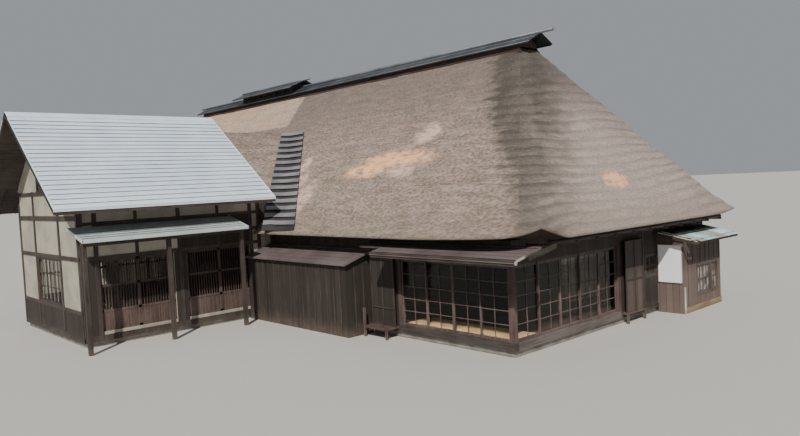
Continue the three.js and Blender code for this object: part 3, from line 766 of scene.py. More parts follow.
mauve_metal = metal_look("mauve_metal", (0.120, 0.094, 0.096), (0.185, 0.150, 0.150), 0.5, 0.1, 0.2)
pale_hem = metal_look("pale_hem", (0.30, 0.265, 0.26), (0.44, 0.40, 0.39), 0.45, 0.1)
dress(mauve_metal, "porch_roof")
dress(dark_level, "lean_to_roof")
dress(post_timber, "lean_to_frame")
sheet_thick, sheet_lap = 0.003, 0.012


def course_section(upper, lower, rise):
    """Section of one thin sheet: it starts on the slope and its lower edge stands clear of the next."""
    down = (lower - upper).normalized()
    up = Vector((-down.y, down.x)) if down.x > 0 else Vector((down.y, -down.x))
    foot = lower + down * sheet_lap
    raised = ((upper, 0.001), (upper, 0.001 + sheet_thick), (foot, rise), (foot, rise - sheet_thick))
    return [tuple(point + up * height) for point, height in raised]


def roof_courses(name, run, span, upper, lower, count, look, slot, rise=0.012):
    """Level courses from an upper to a lower edge. Points are (y, z) along x, or (x, z) along y."""
    step = (Vector(lower) - Vector(upper)) / count
    section = course_section(Vector(upper), Vector(upper) + step, rise)
    one = Shape().along_x(section, *span) if run == "x" else Shape().along_y(section, *span)
    move = (0, step.x, step.y) if run == "x" else (step.x, 0, step.y)
    place_piece(name, row_mesh(name, one, count, move, look), slot)


lean_to_top = (-0.02, 2.438)
mauve = (mauve_metal, "mauve_metal")
roof_courses("lean_to_courses", "x", (-3.955, 0.825), lean_to_top, (-0.83, 2.2577), 4, *mauve)
roof_courses("lean_to_tail_courses", "x", (-4.875, -3.96), lean_to_top, (-0.44, 2.3445), 2, *mauve)

verge_ends = (0.822, 0.845)
folds = Shape()
folds.along_x([(-0.001, 2.445), (-0.001, 2.470), (-0.10, 2.450), (-0.10, 2.440)], -4.87, 0.82)
folds.along_x([(-0.44, 2.357), (-0.458, 2.353), (-0.458, 2.315), (-0.446, 2.315)], -4.88, -3.96)
folds.along_x([(-0.888, 2.205), (-0.912, 2.203), (-0.912, 2.184), (-0.888, 2.184)], -3.96, 0.83)
folds.along_x([(-0.001, 2.462), (-0.62, 2.326), (-0.62, 2.276), (-0.001, 2.412)], *verge_ends)
make_piece("lean_to_folds", folds, *mauve, bevel=0.002)

hems = Shape()
hems.along_x([(-0.62, 2.326), (-0.912, 2.262), (-0.912, 2.212), (-0.62, 2.276)], *verge_ends)
hems.box((0.80, -0.925, 2.160), (0.85, -0.888, 2.235))
make_piece("lean_to_hems", hems, pale_hem, "mauve_metal", bevel=0.002)

eave_section = [(-0.86, 2.205), (-0.886, 2.200), (-0.886, 2.12), (-0.86, 2.12)]
make_piece("lean_to_eave_board", Shape().along_x(eave_section, -3.95, 0.80), dark_level, "dark_timber")


# Porch between veranda and wing: a wide lean-to of the same mauve metal over dark board walls, with a
# flashing at the wall and a folded edge round the sheets.
dress(dark_boards, "porch_front_wall", "porch_side_wall")
roof_courses("porch_courses", "x", (-10.095, -4.905), (-0.02, 2.201), (-0.985, 1.891), 5, *mauve)
trim = Shape()
trim.along_x([(-0.001, 2.205), (-0.001, 2.235), (-0.10, 2.205), (-0.10, 2.19)], -10.09, -4.90)
trim.along_x([(-0.985, 1.905), (-1.012, 1.897), (-1.012, 1.842), (-0.998, 1.842)], -10.09, -4.90)
trim.along_x([(-0.001, 2.212), (-1.012, 1.895), (-1.012, 1.840), (-0.001, 2.152)], -4.908, -4.886)
make_piece("porch_flashing", trim, *mauve, bevel=0.002)
battens("porch_front_battens", "front", [(-10.05, -5.02, -0.1, 1.80)], -0.9, -1)
battens("porch_side_battens", "side", [(-0.85, -0.05, -0.1, 1.80)], -5.0, 1)


# Annex: a low store of faded brown boards against the east wall, with two barred windows, a pale plank
# at its corner and a white sheet panel fixed to its near end.
annex_face = 0.8
# The annex boards get painted shade on their upper part, under the awning.
annex_boards = boards_look("annex_boards", (0.14, 0.104, 0.09), (0.24, 0.18, 0.156), 0.2, upper_shade=0.6)
pale_plank = timber_look("pale_plank", (0.42, 0.40, 0.34), (0.62, 0.60, 0.52), upright)
ochre_board = timber_look("ochre_board", (0.20, 0.14, 0.06), (0.33, 0.25, 0.12), level)
dress(annex_boards, "annex_walls")


def build_painted_reflection_pane():
    # An opaque pane whose pale clouds are a painted reflection on the glass.
    look = Look("pane_with_painted_reflection", 0.25)
    cloud = look.use(mottle, Size=0.25, Grit=0.02)[0]
    look.colour = mixed(cloud, (0.10, 0.095, 0.085), (0.34, 0.33, 0.31))
    return look.done()


def build_white_sheet():
    look = Look("white_sheet", 0.5)
    cloud = look.use(mottle, Size=0.5, Grit=0.02)[0]
    look.colour = mixed(cloud, (0.90, 0.93, 0.95), (0.95, 0.96, 0.95))
    look.splash(1.1, 0.06, (0.5, 0.46, 0.4))
    return look.done(cloud, 0.004, 0.4)


annex_frames, annex_panes = Shape(), Shape()
for window, columns in (((7.65, 8.5), 4), ((8.62, 9.0), 2)):
    add_sash(annex_frames, annex_panes, "side", window, (0.33, 1.15), annex_face, 1, columns, 2, 0.04)
make_piece("annex_window_frames", annex_frames, leaf_timber, "red_timber", bevel=0.002)
make_piece("annex_window_panes", annex_panes, build_painted_reflection_pane(), "glass")
annex_foot, annex_head = -0.02, 1.85
annex_spans = [(6.86, 7.58, annex_foot, annex_head), (7.72, 8.96, 1.24, annex_head)]
annex_spans += [(9.06, 9.24, annex_foot, annex_head), (7.72, 8.96, annex_foot, 0.26)]
battens("annex_battens", "side", annex_spans, annex_face, 1, annex_boards, "lit_board")
plank = Shape().slab("side", (6.80, 6.87), (-0.15, 0.62), (annex_face, 0.822))
make_piece("annex_corner_plank", plank, pale_plank, "lit_board", bevel=0.002)
foot_board = Shape().slab("side", (6.9, 9.245), (-0.14, 0.02), (annex_face, 0.825))
make_piece("annex_foot_board", foot_board, ochre_board, "lit_board", bevel=0.002)

dress(build_white_sheet(), "white_panel")
rim_wide, rim_deep = 0.017, (6.772, 6.80)
panel_rim = Shape().rails("front", (0.05, 0.75), (0.735, 1.828), rim_wide, rim_deep)
for start in (0.035, 0.748):
    panel_rim.slab("front", (start, start + rim_wide), (0.735, 1.845), rim_deep)
make_piece("white_panel_rim", panel_rim, pale_hem, "white_panel")


# Awning over the annex: old corrugated sheets in turquoise and grey on a light frame, nailed down with
# laths. The near end has broken away, and a few bleached laths stick out there.
wave_pitch, wave_high, wave_steps = 0.076, 0.009, 8
awning_top, awning_foot = Vector((0.16, 2.212)), Vector((1.298, 1.962))
sheet_edges = [6.86, 7.25, 7.98, 8.72, 9.545]
sheet_over, awning_thick = 0.04, 0.004
grey_sheet = ((0.30, 0.27, 0.25), (0.44, 0.42, 0.40))
turquoise_sheet = ((0.19, 0.50, 0.55), (0.42, 0.72, 0.74))
pale_sheet = ((0.36, 0.58, 0.62), (0.62, 0.76, 0.80))


def build_corrugated():
    look = Look("corrugated_sheet", 0.5)
    across = look.place.axis("Y") - house_corner.y
    cloud, grain = look.use(mottle, Size=0.45, Grit=0.03)
    look.colour = mixed(cloud, *grey_sheet)
    for edge, sheet in zip(sheet_edges[1:], (turquoise_sheet, grey_sheet, pale_sheet)):
        look.lay(mixed(cloud, *sheet), across > edge)
    look.lay((0.16, 0.14, 0.11), grain * 0.3)
    return look.done(grain, 0.002)


def corrugated_rings(y0, y1, lift):
    """Sections of a sheet whose waves run down the slope, at its top, middle and foot."""
    count = round((y1 - y0) / wave_pitch * wave_steps)
    rings = []
    for share in (0, 0.5, 1):
        x, z = awning_top.lerp(awning_foot, share)
        lower = []
        for i in range(count + 1):
            y = y0 + (y1 - y0) * i / count
            lower.append((x, y, z + lift + wave_high * math.sin(2 * math.pi * y / wave_pitch)))
        rings.append([(x, y, z + awning_thick) for x, y, z in lower] + lower[::-1])
    return rings


awning = Shape()
for i, (y0, y1) in enumerate(zip(sheet_edges, sheet_edges[1:])):
    awning.loft(corrugated_rings(y0, min(y1 + sheet_over, sheet_edges[-1]), awning_thick * (i % 2)))
awning_sheets = make_piece("awning_sheets", awning, build_corrugated(), "corrugated", smooth=True)
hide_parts("awning_sheet")
dress(dark_level, "awning_frame")

laths = Shape()
for y, x0, x1, z in ((6.53, 0.2, 1.05, 2.21), (6.66, 0.35, 1.25, 2.16), (6.8, 0.16, 0.9, 2.22)):
    laths.pole((x0, y, z), (x1, y + 0.06, z - 0.22 * (x1 - x0)), 0.016, 6)
laths.box((0.5, 6.5, 2.125), (0.56, 9.5, 2.15))
laths.box((1.12, 6.62, 2.01), (1.18, 9.5, 2.034))
make_piece("awning_laths", laths, pale_plank, "dark_timber")


# Main thatch: reeds laid in courses, a little over half a metre thick, combed round the hips and cut
# level under the eaves. At the front corners the cut edge is swept up to a point.
thatch_east, thatch_west = 1.0, -26.8
thatch_front, thatch_back = -0.7, 10.6
middle_x, middle_y = (thatch_west + thatch_east) / 2, (thatch_front + thatch_back) / 2
eave_z, thatch_top = 2.58, 7.8
front_pitch, hip_pitch = 1.0038, 1.376
thatch_thick = 0.88
corner_along, corner_across, corner_lift = 1.4, 0.7, 0.28
course_pitch = 0.25

straw_orange, straw_pink = (0.90, 0.50, 0.27), (0.64, 0.45, 0.36)
reed_patches = [
    ((-5.25, 1.4, 4.72), (1.4, 3.0, 0.24), straw_orange),
    ((-6.40, 1.1, 4.42), (0.9, 3.0, 0.20), straw_orange),
    ((-4.70, 1.0, 4.36), (0.60, 3.0, 0.18), straw_pink),
    ((-4.60, 2.2, 5.42), (0.45, 3.0, 0.28), straw_pink),
    ((-10.0, 1.5, 4.80), (0.30, 3.0, 0.25), straw_pink),
    ((-8.70, 0.4, 3.60), (0.45, 3.0, 0.62), straw_pink),
    ((-9.60, 1.0, 4.20), (0.40, 3.0, 0.30), straw_pink),
    ((0.10, 4.45, 3.82), (3.0, 0.55, 0.20), straw_orange),
]


def build_patch():
    """A patch of newer reed: an oval in the roof's face with a ragged edge and gaps along the courses."""
    tree, place, middle, half = new_group("newer_reed_patch", ["Place", "Middle", "Half"], [], ["Mask"])
    away = (place - middle) / half
    reach = add_node(tree, "ShaderNodeVectorMath", {0: away}, operation="LENGTH").outputs["Value"]
    edge = noise_at(place, 5.0, 6.0) * 1.5 + reach
    gaps = noise_at(place * (3.0, 3.0, 12.0), 1.0, 4.0)
    return end_group(tree, (1 - between(edge, 1.3, 2.1)) * between(gaps, 0.26, 0.56))


newer_patch = build_patch()


def build_thatch(name, patches):
    """Weathered reed, grey-brown and mottled along its courses. A sooty band follows each hip, the top
    is darker, and the main roof has newer reed in patches and in a relaid field."""
    look = Look(name, 0.95)
    look.give("Specular IOR Level", 0.15)
    roof = Place(add_node(look.tree, "ShaderNodeUVMap", uv_map="roof_metres").outputs["UV"])
    here = look.place - house_corner
    x, y, z = (here.axis(letter) for letter in "XYZ")

    def marked(name):
        return Signal(add_node(look.tree, "ShaderNodeAttribute", attribute_name=name).outputs["Fac"])

    clouds = noise_at(roof * (0.45, 0.6, 1), 1.0, 3.0, 0.6)
    moss = noise_at(roof * (0.7, 0.5, 1), 1.0, 4.0, 0.6)
    smears = noise_at(roof * (1.3, 4.2, 1), 1.0, 4.0, 0.6, 0.3)
    spots = noise_at(roof * (8.0, 15.0, 1), 1.0, 2.0, 0.6, 0.2)
    reeds = noise_at(roof * (30, 9, 1), 1.0, 5.0, 0.75)
    ends = noise_at(roof * (14, 19, 1), 1.0, 3.0, 0.8)
    tone = smears * 0.4 + spots * 0.6
    tint = mixed(between(clouds, 0.38, 0.62), (0.98, 0.99, 0.93), (1.03, 0.98, 0.97))
    weathered = mixed(between(tone, 0.36, 0.64), (0.165, 0.127, 0.107), (0.385, 0.314, 0.276))
    look.colour = mixed(1.0, weathered, tint, "MULTIPLY")
    look.lay((0.225, 0.200, 0.145), between(moss, 0.54, 0.74) * 0.24)

    from_front = (thatch_back - middle_y) - abs(y - middle_y)
    from_hip = abs(x - middle_x) - (thatch_east - middle_x) + from_front * (front_pitch / hip_pitch)
    on_hip = between(from_hip, -0.3, 0.5)
    look.lay((0.450, 0.400, 0.380), on_hip * 0.45)
    shadow = between(marked("course").fraction(), 0.4, 0.95) * between(smears, 0.3, 0.6)
    near_hip = 1 - between(abs(from_hip), 0.5, 3.0)
    look.lay((0.125, 0.096, 0.082), shadow * (near_hip * 0.28 + 0.20))
    look.lay((0.128, 0.109, 0.099), between(z, 4.9, 7.4) * 0.62)
    look.lay((0.100, 0.088, 0.084), on_hip * between(z, 5.8, 7.4) * 0.5)

    from_ragged = from_hip + (smears * 2.2 - 1.1)
    spread = from_ragged + (between(z, 3.8, 5.8) * 0.65 + 0.5)
    soot = between(spread, -0.3, 0.3) * (1 - between(from_ragged, 0.1, 2.1))
    depth = between(moss, 0.36, 0.6) * 0.28 + 0.46 + shadow * 0.22 + between(z, 4.0, 6.0) * 0.22
    behind = between(y, middle_y - 0.4, middle_y + 0.8)
    look.lay((0.072, 0.065, 0.057), soot * (depth * (1 - behind * 0.75)))
    look.lay((0.185, 0.160, 0.125), (1 - between(z, 2.7, 3.5)) * 0.3)

    if patches:
        beyond = 1 - between(x + z * 0.35, -11.30, -11.12)
        relaid = beyond * between(z, 6.42, 6.54) * (y < middle_y)
        newer = mixed(between(tone, 0.38, 0.62), (0.34, 0.255, 0.195), (0.53, 0.415, 0.32))
        newer = mixed(between(clouds, 0.45, 0.62) * 0.5, newer, (0.52, 0.36, 0.25))
        look.lay(newer, relaid * 0.88)
    for middle, half, straw in patches:
        look.lay(straw, look.use(newer_patch, Place=here, Middle=middle, Half=half)[0] * 0.95)
    look.lay((0.11, 0.085, 0.07), between(reeds, 0.5, 0.75) * 0.5)
    look.lay((0.50, 0.43, 0.38), between(ends, 0.56, 0.72) * 0.35)
    look.lay((0.062, 0.039, 0.031), between(marked("underside"), 0.25, 0.75))
    return look.done(reeds + (ends * 0.6 + spots * 0.35), 0.018, 0.65)


# Each column of the thatch stands on a straight run or on a turn round a corner, with its share of it.
run_columns, turn_columns = (208, 76, 208, 76), 14
stations = []
for side, count in enumerate(run_columns):
    stations += [(side, "run", i / count) for i in range(count)]
    stations += [(side, "turn", i / turn_columns) for i in range(turn_columns)]


def eave_ring(inset_front, inset_hip, shrink, z):
    """The roof's outline at one height, from the front west corner round by the east."""
    x0, x1 = thatch_west + inset_hip, thatch_east - inset_hip
    y0, y1 = thatch_front + inset_front, thatch_back - inset_front
    rx = min(corner_along * shrink, (x1 - x0) / 2 - 0.01)
    ry = min(corner_across * shrink, (y1 - y0) / 2 - 0.01)
    left, right, near, far = x0 + rx, x1 - rx, y0 + ry, y1 - ry
    runs = [((left, y0), (right, y0)), ((x1, near), (x1, far))]
    runs += [((right, y1), (left, y1)), ((x0, far), (x0, near))]
    middles = [(right, near), (right, far), (left, far), (left, near)]
    ring = []
    for side, kind, share in stations:
        if kind == "run":
            (ax, ay), (bx, by) = runs[side]
            ring.append((ax + (bx - ax) * share, ay + (by - ay) * share, z))
        else:
            angle = math.pi / 2 * (side - 1 + share)
            cx, cy = middles[side]
            ring.append((cx + rx * math.cos(angle), cy + ry * math.sin(angle), z))
    return ring


def sweep_up(ring, amount):
    """Lifts the cut edge to a point at each front corner, slowly from the long side and fast from the
    hip, and a little at the back corners. A swell is its share, its reach and its power."""
    if amount <= 0:
        return ring
    lifted = list(ring)
    long_side = ((0.43, 4.0, 1.5), (0.57, 0.9, 2.0))
    hip_side = ((1.0, 1.0, 1.15),)
    for corner in range(4):
        to_long_side = -1 if corner % 2 == 0 else 1
        most = amount * (0.35 if corner in (1, 2) else 1.0)
        peak = stations.index((corner, "turn", (12 if corner % 2 == 0 else 2) / turn_columns))
        for way, swells in ((to_long_side, long_side), (-to_long_side, hip_side)):
            spot, gone = peak, 0.0
            while gone < swells[0][1]:
                x, y, z = ring[spot]
                rise = sum(part * max(0.0, 1 - gone / reach) ** power for part, reach, power in swells)
                lifted[spot] = (x, y, z + most * rise)
                spot = (spot + way) % len(ring)
                gone += math.hypot(ring[spot][0] - x, ring[spot][1] - y)
    return lifted


# The skin runs up inside the roof, out under the cut edge, and up the slope to the ridge. A row of the
# lip is its inset from the front, its inset from the hip, its rise and its share of the sweep.
inner_heights = (7.6, 6.2, 4.6, 3.2)
lip = [
    (0.877, 0.64, 0.0, 0.0),
    (0.45, 0.40, 0.0, 0.6),
    (0.14, 0.14, 0.0, 1.0),
    (0.045, 0.045, 0.004, 1.0),
    (0.008, 0.008, 0.03, 1.0),
]
lip_tall, slope_rows, swept_rows = 0.12, 96, 9
thatch_rows = []
for height in inner_heights:
    inner = height - eave_z + thatch_thick
    thatch_rows.append(eave_ring(inner / front_pitch, inner / hip_pitch, 0.3, height))
for inset_front, inset_hip, rise, swept in lip:
    ring = eave_ring(inset_front, inset_hip, 1.0, eave_z + rise)
    thatch_rows.append(sweep_up(ring, corner_lift * swept))
outer_start = len(thatch_rows) - 2
for i in range(slope_rows + 1):
    share = i / slope_rows
    inset = lip_tall + (thatch_top - eave_z - lip_tall) * share
    ring = eave_ring(inset / front_pitch, inset / hip_pitch, 1.0 - 0.6 * share, eave_z + inset)
    thatch_rows.append(sweep_up(ring, corner_lift * (1 - i / swept_rows)))


def side_of(index):
    """The roof face that a column belongs to, where a rounded corner is shared by halves."""
    side, kind, share = stations[index % len(stations)]
    return side if kind == "run" or share < 0.5 else (side + 1) % 4


def mark_reed(mesh, underside):
    """Gives a mesh two attributes for its material: the wavering courses, and 1 on the underside."""
    hidden = [underside(index) for index in range(len(mesh.vertices))]
    mesh.attributes.new("underside", "FLOAT", "POINT").data.foreach_set("value", hidden)
    levels = []
    for vertex in mesh.vertices:
        x, y, z = vertex.co
        waver = noise.noise(Vector((x * 0.35, y * 0.35, z * 0.3))) * 1.1
        levels.append(z / course_pitch + waver)
    mesh.attributes.new("course", "FLOAT", "POINT").data.foreach_set("value", levels)
    return levels


def roughen_thatch(mesh, rows, columns):
    """Moves the outer face: soft swells, the stepped courses of reed, and small tufts."""
    mesh.update()
    levels = mark_reed(mesh, lambda index: min(1.0, max(0.0, (outer_start + 1 - index // columns) / 2)))
    normals = [v.normal.copy() for v in mesh.vertices]
    for row in range(outer_start, rows):
        fade = min(1.0, (row - outer_start) / 4) * min(1.0, (rows - 1 - row) / 3)
        for column in range(columns):
            index = row * columns + column
            p = mesh.vertices[index].co
            swell = noise.noise(p * 0.55) * 0.035 + noise.noise(p * 1.9) * 0.012
            step = (levels[index] % 1.0 - 0.5) * (0.026 if side_of(column) == 1 else 0.02)
            tuft = noise.noise(p * 7.0) * 0.008
            mesh.vertices[index].co = p + normals[index] * fade * (swell - step + tuft)


def lay_roof_metres(mesh, rows, columns):
    """A map in metres: u along the eave from the middle of each face, v up the slope."""
    layer = mesh.uv_layers.new(name="roof_metres")
    places = [v.co for v in mesh.vertices]
    along = []
    for row in range(rows):
        run = [0.0]
        for column in range(1, columns + 1):
            here = places[row * columns + column % columns]
            run.append(run[-1] + (here - places[row * columns + column - 1]).length)
        along.append(run)
    middles = []
    for side in range(4):
        members = [c for c in range(columns) if side_of(c) == side and stations[c][1] == "run"]
        middles.append(members[len(members) // 2])
    for polygon in mesh.polygons:
        if len(polygon.vertices) > 4:
            continue
        marks = [v % columns for v in polygon.vertices]
        wraps = 0 in marks and columns - 1 in marks
        side = side_of(columns - 1 if wraps else min(marks))
        for loop, vertex in zip(polygon.loop_indices, polygon.vertices):
            row, column = divmod(vertex, columns)
            u = along[row][columns if wraps and column == 0 else column] - along[row][middles[side]]
            if side == 0 and column > middles[3]:
                u -= along[row][columns]
            layer.data[loop].uv = (u + side * 40, places[vertex].z * 1.35)


thatch_look = build_thatch("reed_thatch", reed_patches)
thatch_mesh = mesh_of("main_thatch", Shape().loft(thatch_rows), thatch_look)
roughen_thatch(thatch_mesh, len(thatch_rows), len(stations))

wing_gap = (-15.72, -10.08)
wing_gap_y = -0.375
for vertex in thatch_mesh.vertices:
    from_corner = vertex.co - house_corner
    if wing_gap[0] < from_corner.x < wing_gap[1] and from_corner.y < wing_gap_y:
        vertex.co.y = wing_gap_y + house_corner.y

lay_roof_metres(thatch_mesh, len(thatch_rows), len(stations))
main_thatch = place_piece("main_thatch", thatch_mesh, "thatch", smooth=True)
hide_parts("thatch_front", "thatch_back", "thatch_east_hip", "thatch_west_hip")

eave_frame = Shape()
for x in (0.72, -26.52):
    eave_frame.pole((x, 0.5, 2.50), (x, 9.5, 2.50), 0.055, 8)
for i in range(11):
    y = 0.6 + i * 0.88
    for wall_x, tip_x in ((-0.05, 0.80), (-25.75, -26.6)):
        eave_frame.pole((wall_x, y, 2.42), (tip_x, y, 2.44), 0.035, 6)
make_piece("hip_eave_poles", eave_frame, dark_level, "dark_timber", smooth=True)

olive_board = timber_look("olive_board", (0.022, 0.019, 0.010), (0.048, 0.042, 0.023), level)
end_section = [(-0.53, 2.33), (0.48, 2.50), (0.48, 2.39), (-0.53, 2.22)]
end_board = Shape().along_x(end_section, 0.875, 0.905)
make_piece("lean_to_end_board", end_board, olive_board, "dark_timber", bevel=0.003)


# Thatch stub over the wing's back end: two slopes of the same reed that die into the main slope, cut
# off square over the wing's metal roof.
stub_ridge_x, stub_ridge_z = -12.9, 6.2
stub_run, stub_eave_z = 3.87, 2.6
stub_pitch = (stub_ridge_z - stub_eave_z) / stub_run
stub_thick, stub_lip = 0.52, 0.06
stub_start = -0.379
stub_columns, stub_half_rows = 44, 48

stub_top = []
for i in range(-stub_half_rows, stub_half_rows + 1):
    run = abs(i) / stub_half_rows * stub_run
    rounded = 0.05 * math.exp(-((run / 0.25) ** 2))
    stub_top.append((stub_ridge_x + math.copysign(run, i), stub_ridge_z - stub_pitch * run - rounded))
inside = stub_run - stub_thick / stub_pitch
below = [
    (stub_ridge_x + stub_run - stub_lip, stub_eave_z),
    (stub_ridge_x + inside, stub_eave_z),
    (stub_ridge_x, stub_ridge_z - stub_thick),
    (stub_ridge_x - inside, stub_eave_z),
    (stub_ridge_x - stub_run + stub_lip, stub_eave_z),
]
stub_section = stub_top + below


def main_slope_y(z):
    """Where the surface of the main front slope is at height z."""
    return thatch_front + (z - eave_z) / front_pitch


stub_rings = []
for i in range(stub_columns + 1):
    ring = []
    for x, z in stub_section:
        end = max(main_slope_y(z) + 0.12, stub_start + 0.05)
        ring.append((x, stub_start + (end - stub_start) * i / stub_columns, z))
    stub_rings.append(ring)
stub_mesh = mesh_of("wing_thatch", Shape().loft(stub_rings), build_thatch("reed_thatch_stub", []))
layer = stub_mesh.uv_layers.new(name="roof_metres")
for polygon in stub_mesh.polygons:
    for loop, vertex in zip(polygon.loop_indices, polygon.vertices):
        p = stub_mesh.vertices[vertex].co - house_corner
        slope = math.hypot(p.x - stub_ridge_x, stub_ridge_z - p.z)
        layer.data[loop].uv = (p.y + math.copysign(50, p.x - stub_ridge_x), -slope)
stub_mesh.update()
stub_levels = mark_reed(stub_mesh, lambda index: float(index % len(stub_section) >= len(stub_top)))
stub_normals = [v.normal.copy() for v in stub_mesh.vertices]
for index, vertex in enumerate(stub_mesh.vertices):
    ring, spot = divmod(index, len(stub_section))
    if spot < len(stub_top) and 0 < ring:
        step = stub_levels[index] % 1.0 - 0.5
        vertex.co += stub_normals[index] * (noise.noise(vertex.co * 0.8) * 0.02 - step * 0.024)
wing_thatch = place_piece("wing_thatch", stub_mesh, "thatch", smooth=True)
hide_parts("wing_thatch_east", "wing_thatch_west")


# Valley metal: grey sheets in level courses that sag across the hollow between the main slope and the
# stub, each lapping the one below, with a dark gap under its lower edge. A near-black bed under the
# courses paints the shade in these gaps.
valley_courses, valley_steps, bed_rows = 15, 16, 40
valley_high, valley_low = 6.12, 2.78
valley_fall = valley_high - valley_low
valley_to_stub, valley_to_main = 0.34, (1.0, 1.33)
valley_round, valley_sag = 0.22, 0.045
sheet_lifts = ((0.0, 0.052), (0.3, 0.064), (0.62, 0.088))
sheet_body, bed_over = 0.009, 0.05
stub_out, main_out, out_up = 0.681, 0.709, 0.72
valley_metal = metal_look("valley_metal", (0.19, 0.18, 0.20), (0.32, 0.305, 0.335), 0.5, 0.25, 0.1)
# Near-black bed: painted shade between the sheets.
valley_painted_shade_bed = metal_look("valley_painted_shade_bed", (0.022, 0.020, 0.022), (0.04, 0.037, 0.04), 0.8)


def valley_ring(side, z, under, over):
    """A section through the valley's lining: from the stub's slope, in a round, to the main slope."""
    share = (valley_high - z) / valley_fall
    to_main = valley_to_main[0] + (valley_to_main[1] - valley_to_main[0]) * share
    x = stub_ridge_x + side * (stub_ridge_z - z) / stub_pitch
    upper, lower = [], []
    for i in range(valley_steps + 1):
        t = -valley_to_stub + (valley_to_stub + to_main) * i / valley_steps
        long = math.hypot(t, valley_round)
        on_main = (1 + t / long) / 2
        hollow = math.sin(math.pi * i / valley_steps)
        y = main_slope_y(z) - (long - t) / 2
        point = Vector((x + side * (t + long) / 2, y, z - valley_sag * hollow))
        out = Vector((side * (1 - on_main) * stub_out, -on_main * main_out, out_up)).normalized()
        bowed = 0.5 + 0.5 * hollow
        upper.append(tuple(point + out * over * bowed))
        lower.append(tuple(point + out * under * bowed))
    return upper + lower[::-1]


for side, node in ((1, "valley_metal_east"), (-1, "valley_metal_west")):
    play = random.Random(side + 3)
    drop = valley_fall / valley_courses
    courses = Shape()
    for i in range(valley_courses):
        top = valley_high - drop * (i + play.uniform(-0.06, 0.06))
        places = [(top - drop * down, lift) for down, lift in sheet_lifts]
        courses.loft([valley_ring(side, z, lift, lift + sheet_body) for z, lift in places])
    make_piece(f"{node}_courses", courses, valley_metal, "valley_metal")
    heights = [valley_high - 0.05 - valley_fall * i / bed_rows for i in range(bed_rows + 1)]
    bed = Shape().loft([valley_ring(side, z, 0.0, bed_over) for z in heights])
    bed_piece = make_piece(f"{node}_bed", bed, valley_painted_shade_bed, "valley_metal")
    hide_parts(node)


# Ridge: layers of dark bark on the thatch, and over them a folded cap of blue-grey sheet metal in
# lengths, with a pole along its top and a bright hem. Both ends stand out over the hips.
ridge_y = 4.95
cap_fold = (0.56, 8.28, 7.99)
cap_west, cap_east, cap_length = -23.3, -2.5, 1.7333


def build_bark():
    look = Look("ridge_bark", 0.9)
    fibre, streak = look.use(wood_grain, Stretch=(1.5, 8.0, 22.0))
    look.colour = mixed(streak, (0.030, 0.018, 0.015), (0.085, 0.052, 0.042))
    look.lay((0.13, 0.085, 0.065), look.use(mottle, Size=0.8, Grit=0.03)[0] * 0.3)
    return look.done(fibre, 0.01)


bark = build_bark()
dress(bark, "ridge_core")
core_low, core_high = node_box("ridge_core")
bark_layers = Shape()
for i in range(5):
    half = 0.50 - 0.018 * i
    base = thatch_top - 0.06 + 0.055 * i
    outline = ((-half, 0), (-half + 0.02, 0.05), (half - 0.02, 0.05), (half, 0))
    drip = [(ridge_y + y, base + z) for y, z in outline]
    bark_layers.along_x(drip, core_low.x - 0.06 + 0.03 * i, core_high.x + 0.06 - 0.03 * i)
make_piece("ridge_bark_layers", bark_layers, bark, "ridge_bark", bevel=0.006)

ridge_metal = metal_look("ridge_metal", (0.022, 0.027, 0.034), (0.055, 0.064, 0.078), 0.45, 0.2, 0.1)
hem_metal = metal_look("ridge_hem", (0.11, 0.12, 0.135), (0.19, 0.20, 0.22), 0.45, 0.2)


def cap_section(half, peak, edge, thick):
    """A folded sheet over the ridge, with its edges turned down."""
    turned = edge - thick - 0.02
    near = [(-half, edge), (-half, turned), (-half + 0.015, turned), (-half + 0.02, edge - thick + 0.01)]
    far = [(-y, z) for y, z in reversed(near)]
    return [(ridge_y + y, z) for y, z in (*near, (0, peak - thick), *far, (0, peak))]


def ridge_cover(name, fold, start, length, count):
    """A piece of cap lengths side by side, each with a lap at its end."""
    half, peak, edge = fold
    end = start + length
    one = Shape().along_x(cap_section(half, peak, edge, 0.03), start, end - 0.004)
    one.along_x(cap_section(half + 0.006, peak + 0.008, edge + 0.006, 0.012), end - 0.06, end + 0.03)
    return place_piece(name, row_mesh(name, one, count, (length, 0, 0), ridge_metal), "ridge_metal")


def ridge_details(name, fold, west, east, pole_out, radius):
    """Pole along the top, and the bright folds halfway down and at the edge."""
    half, peak, edge = fold
    top = peak + radius * 0.3
    made = Shape().pole((west - pole_out, ridge_y, top), (east + pole_out, ridge_y, top), radius, 12)
    middle = (peak + edge) / 2 + 0.006
    for side in (-1, 1):
        for share, z, thick in ((1.0, edge - 0.012, 0.013), (0.5, middle, 0.009)):
            y = ridge_y + side * half * share
            made.pole((west, y, z), (east, y, z), thick, 6)
    make_piece(name, made, hem_metal, "ridge_metal", smooth=True)


cover = ridge_cover("ridge_cover", cap_fold, cap_west, cap_length, 12)
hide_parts("ridge_cap")
ridge_details("ridge_pole_and_folds", cap_fold, cap_west, cap_east, 0.45, 0.05)


# Smoke vent astride the ridge: a low boarded box with bars in its long openings, under its own folded
# metal roof with a pole.
vent_fold = (0.76, 8.56, 8.25)
vent_low, vent_high = node_box("vent_body")
roof_west, roof_east = vent_low.x - 0.45, vent_high.x + 0.35
dress(dark_boards, "vent_body")
vent_bars = []
for face in (ridge_y - 0.45, ridge_y + 0.45):
    along, deep = (vent_low.x + 0.06, vent_low.x + 0.085), (face - 0.012, face + 0.012)
    vent_bars.append((Shape().slab("front", along, (8.06, 8.26), deep), 39, (0.1, 0, 0)))
make_rows("vent_bars", vent_bars, dark_upright, "dark_timber")
vent_cover = ridge_cover("vent_cover", vent_fold, roof_west, 1.2, 4)
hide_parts("vent_roof")
ridge_details("vent_pole_and_folds", vent_fold, roof_west, roof_east, 0.3, 0.042)


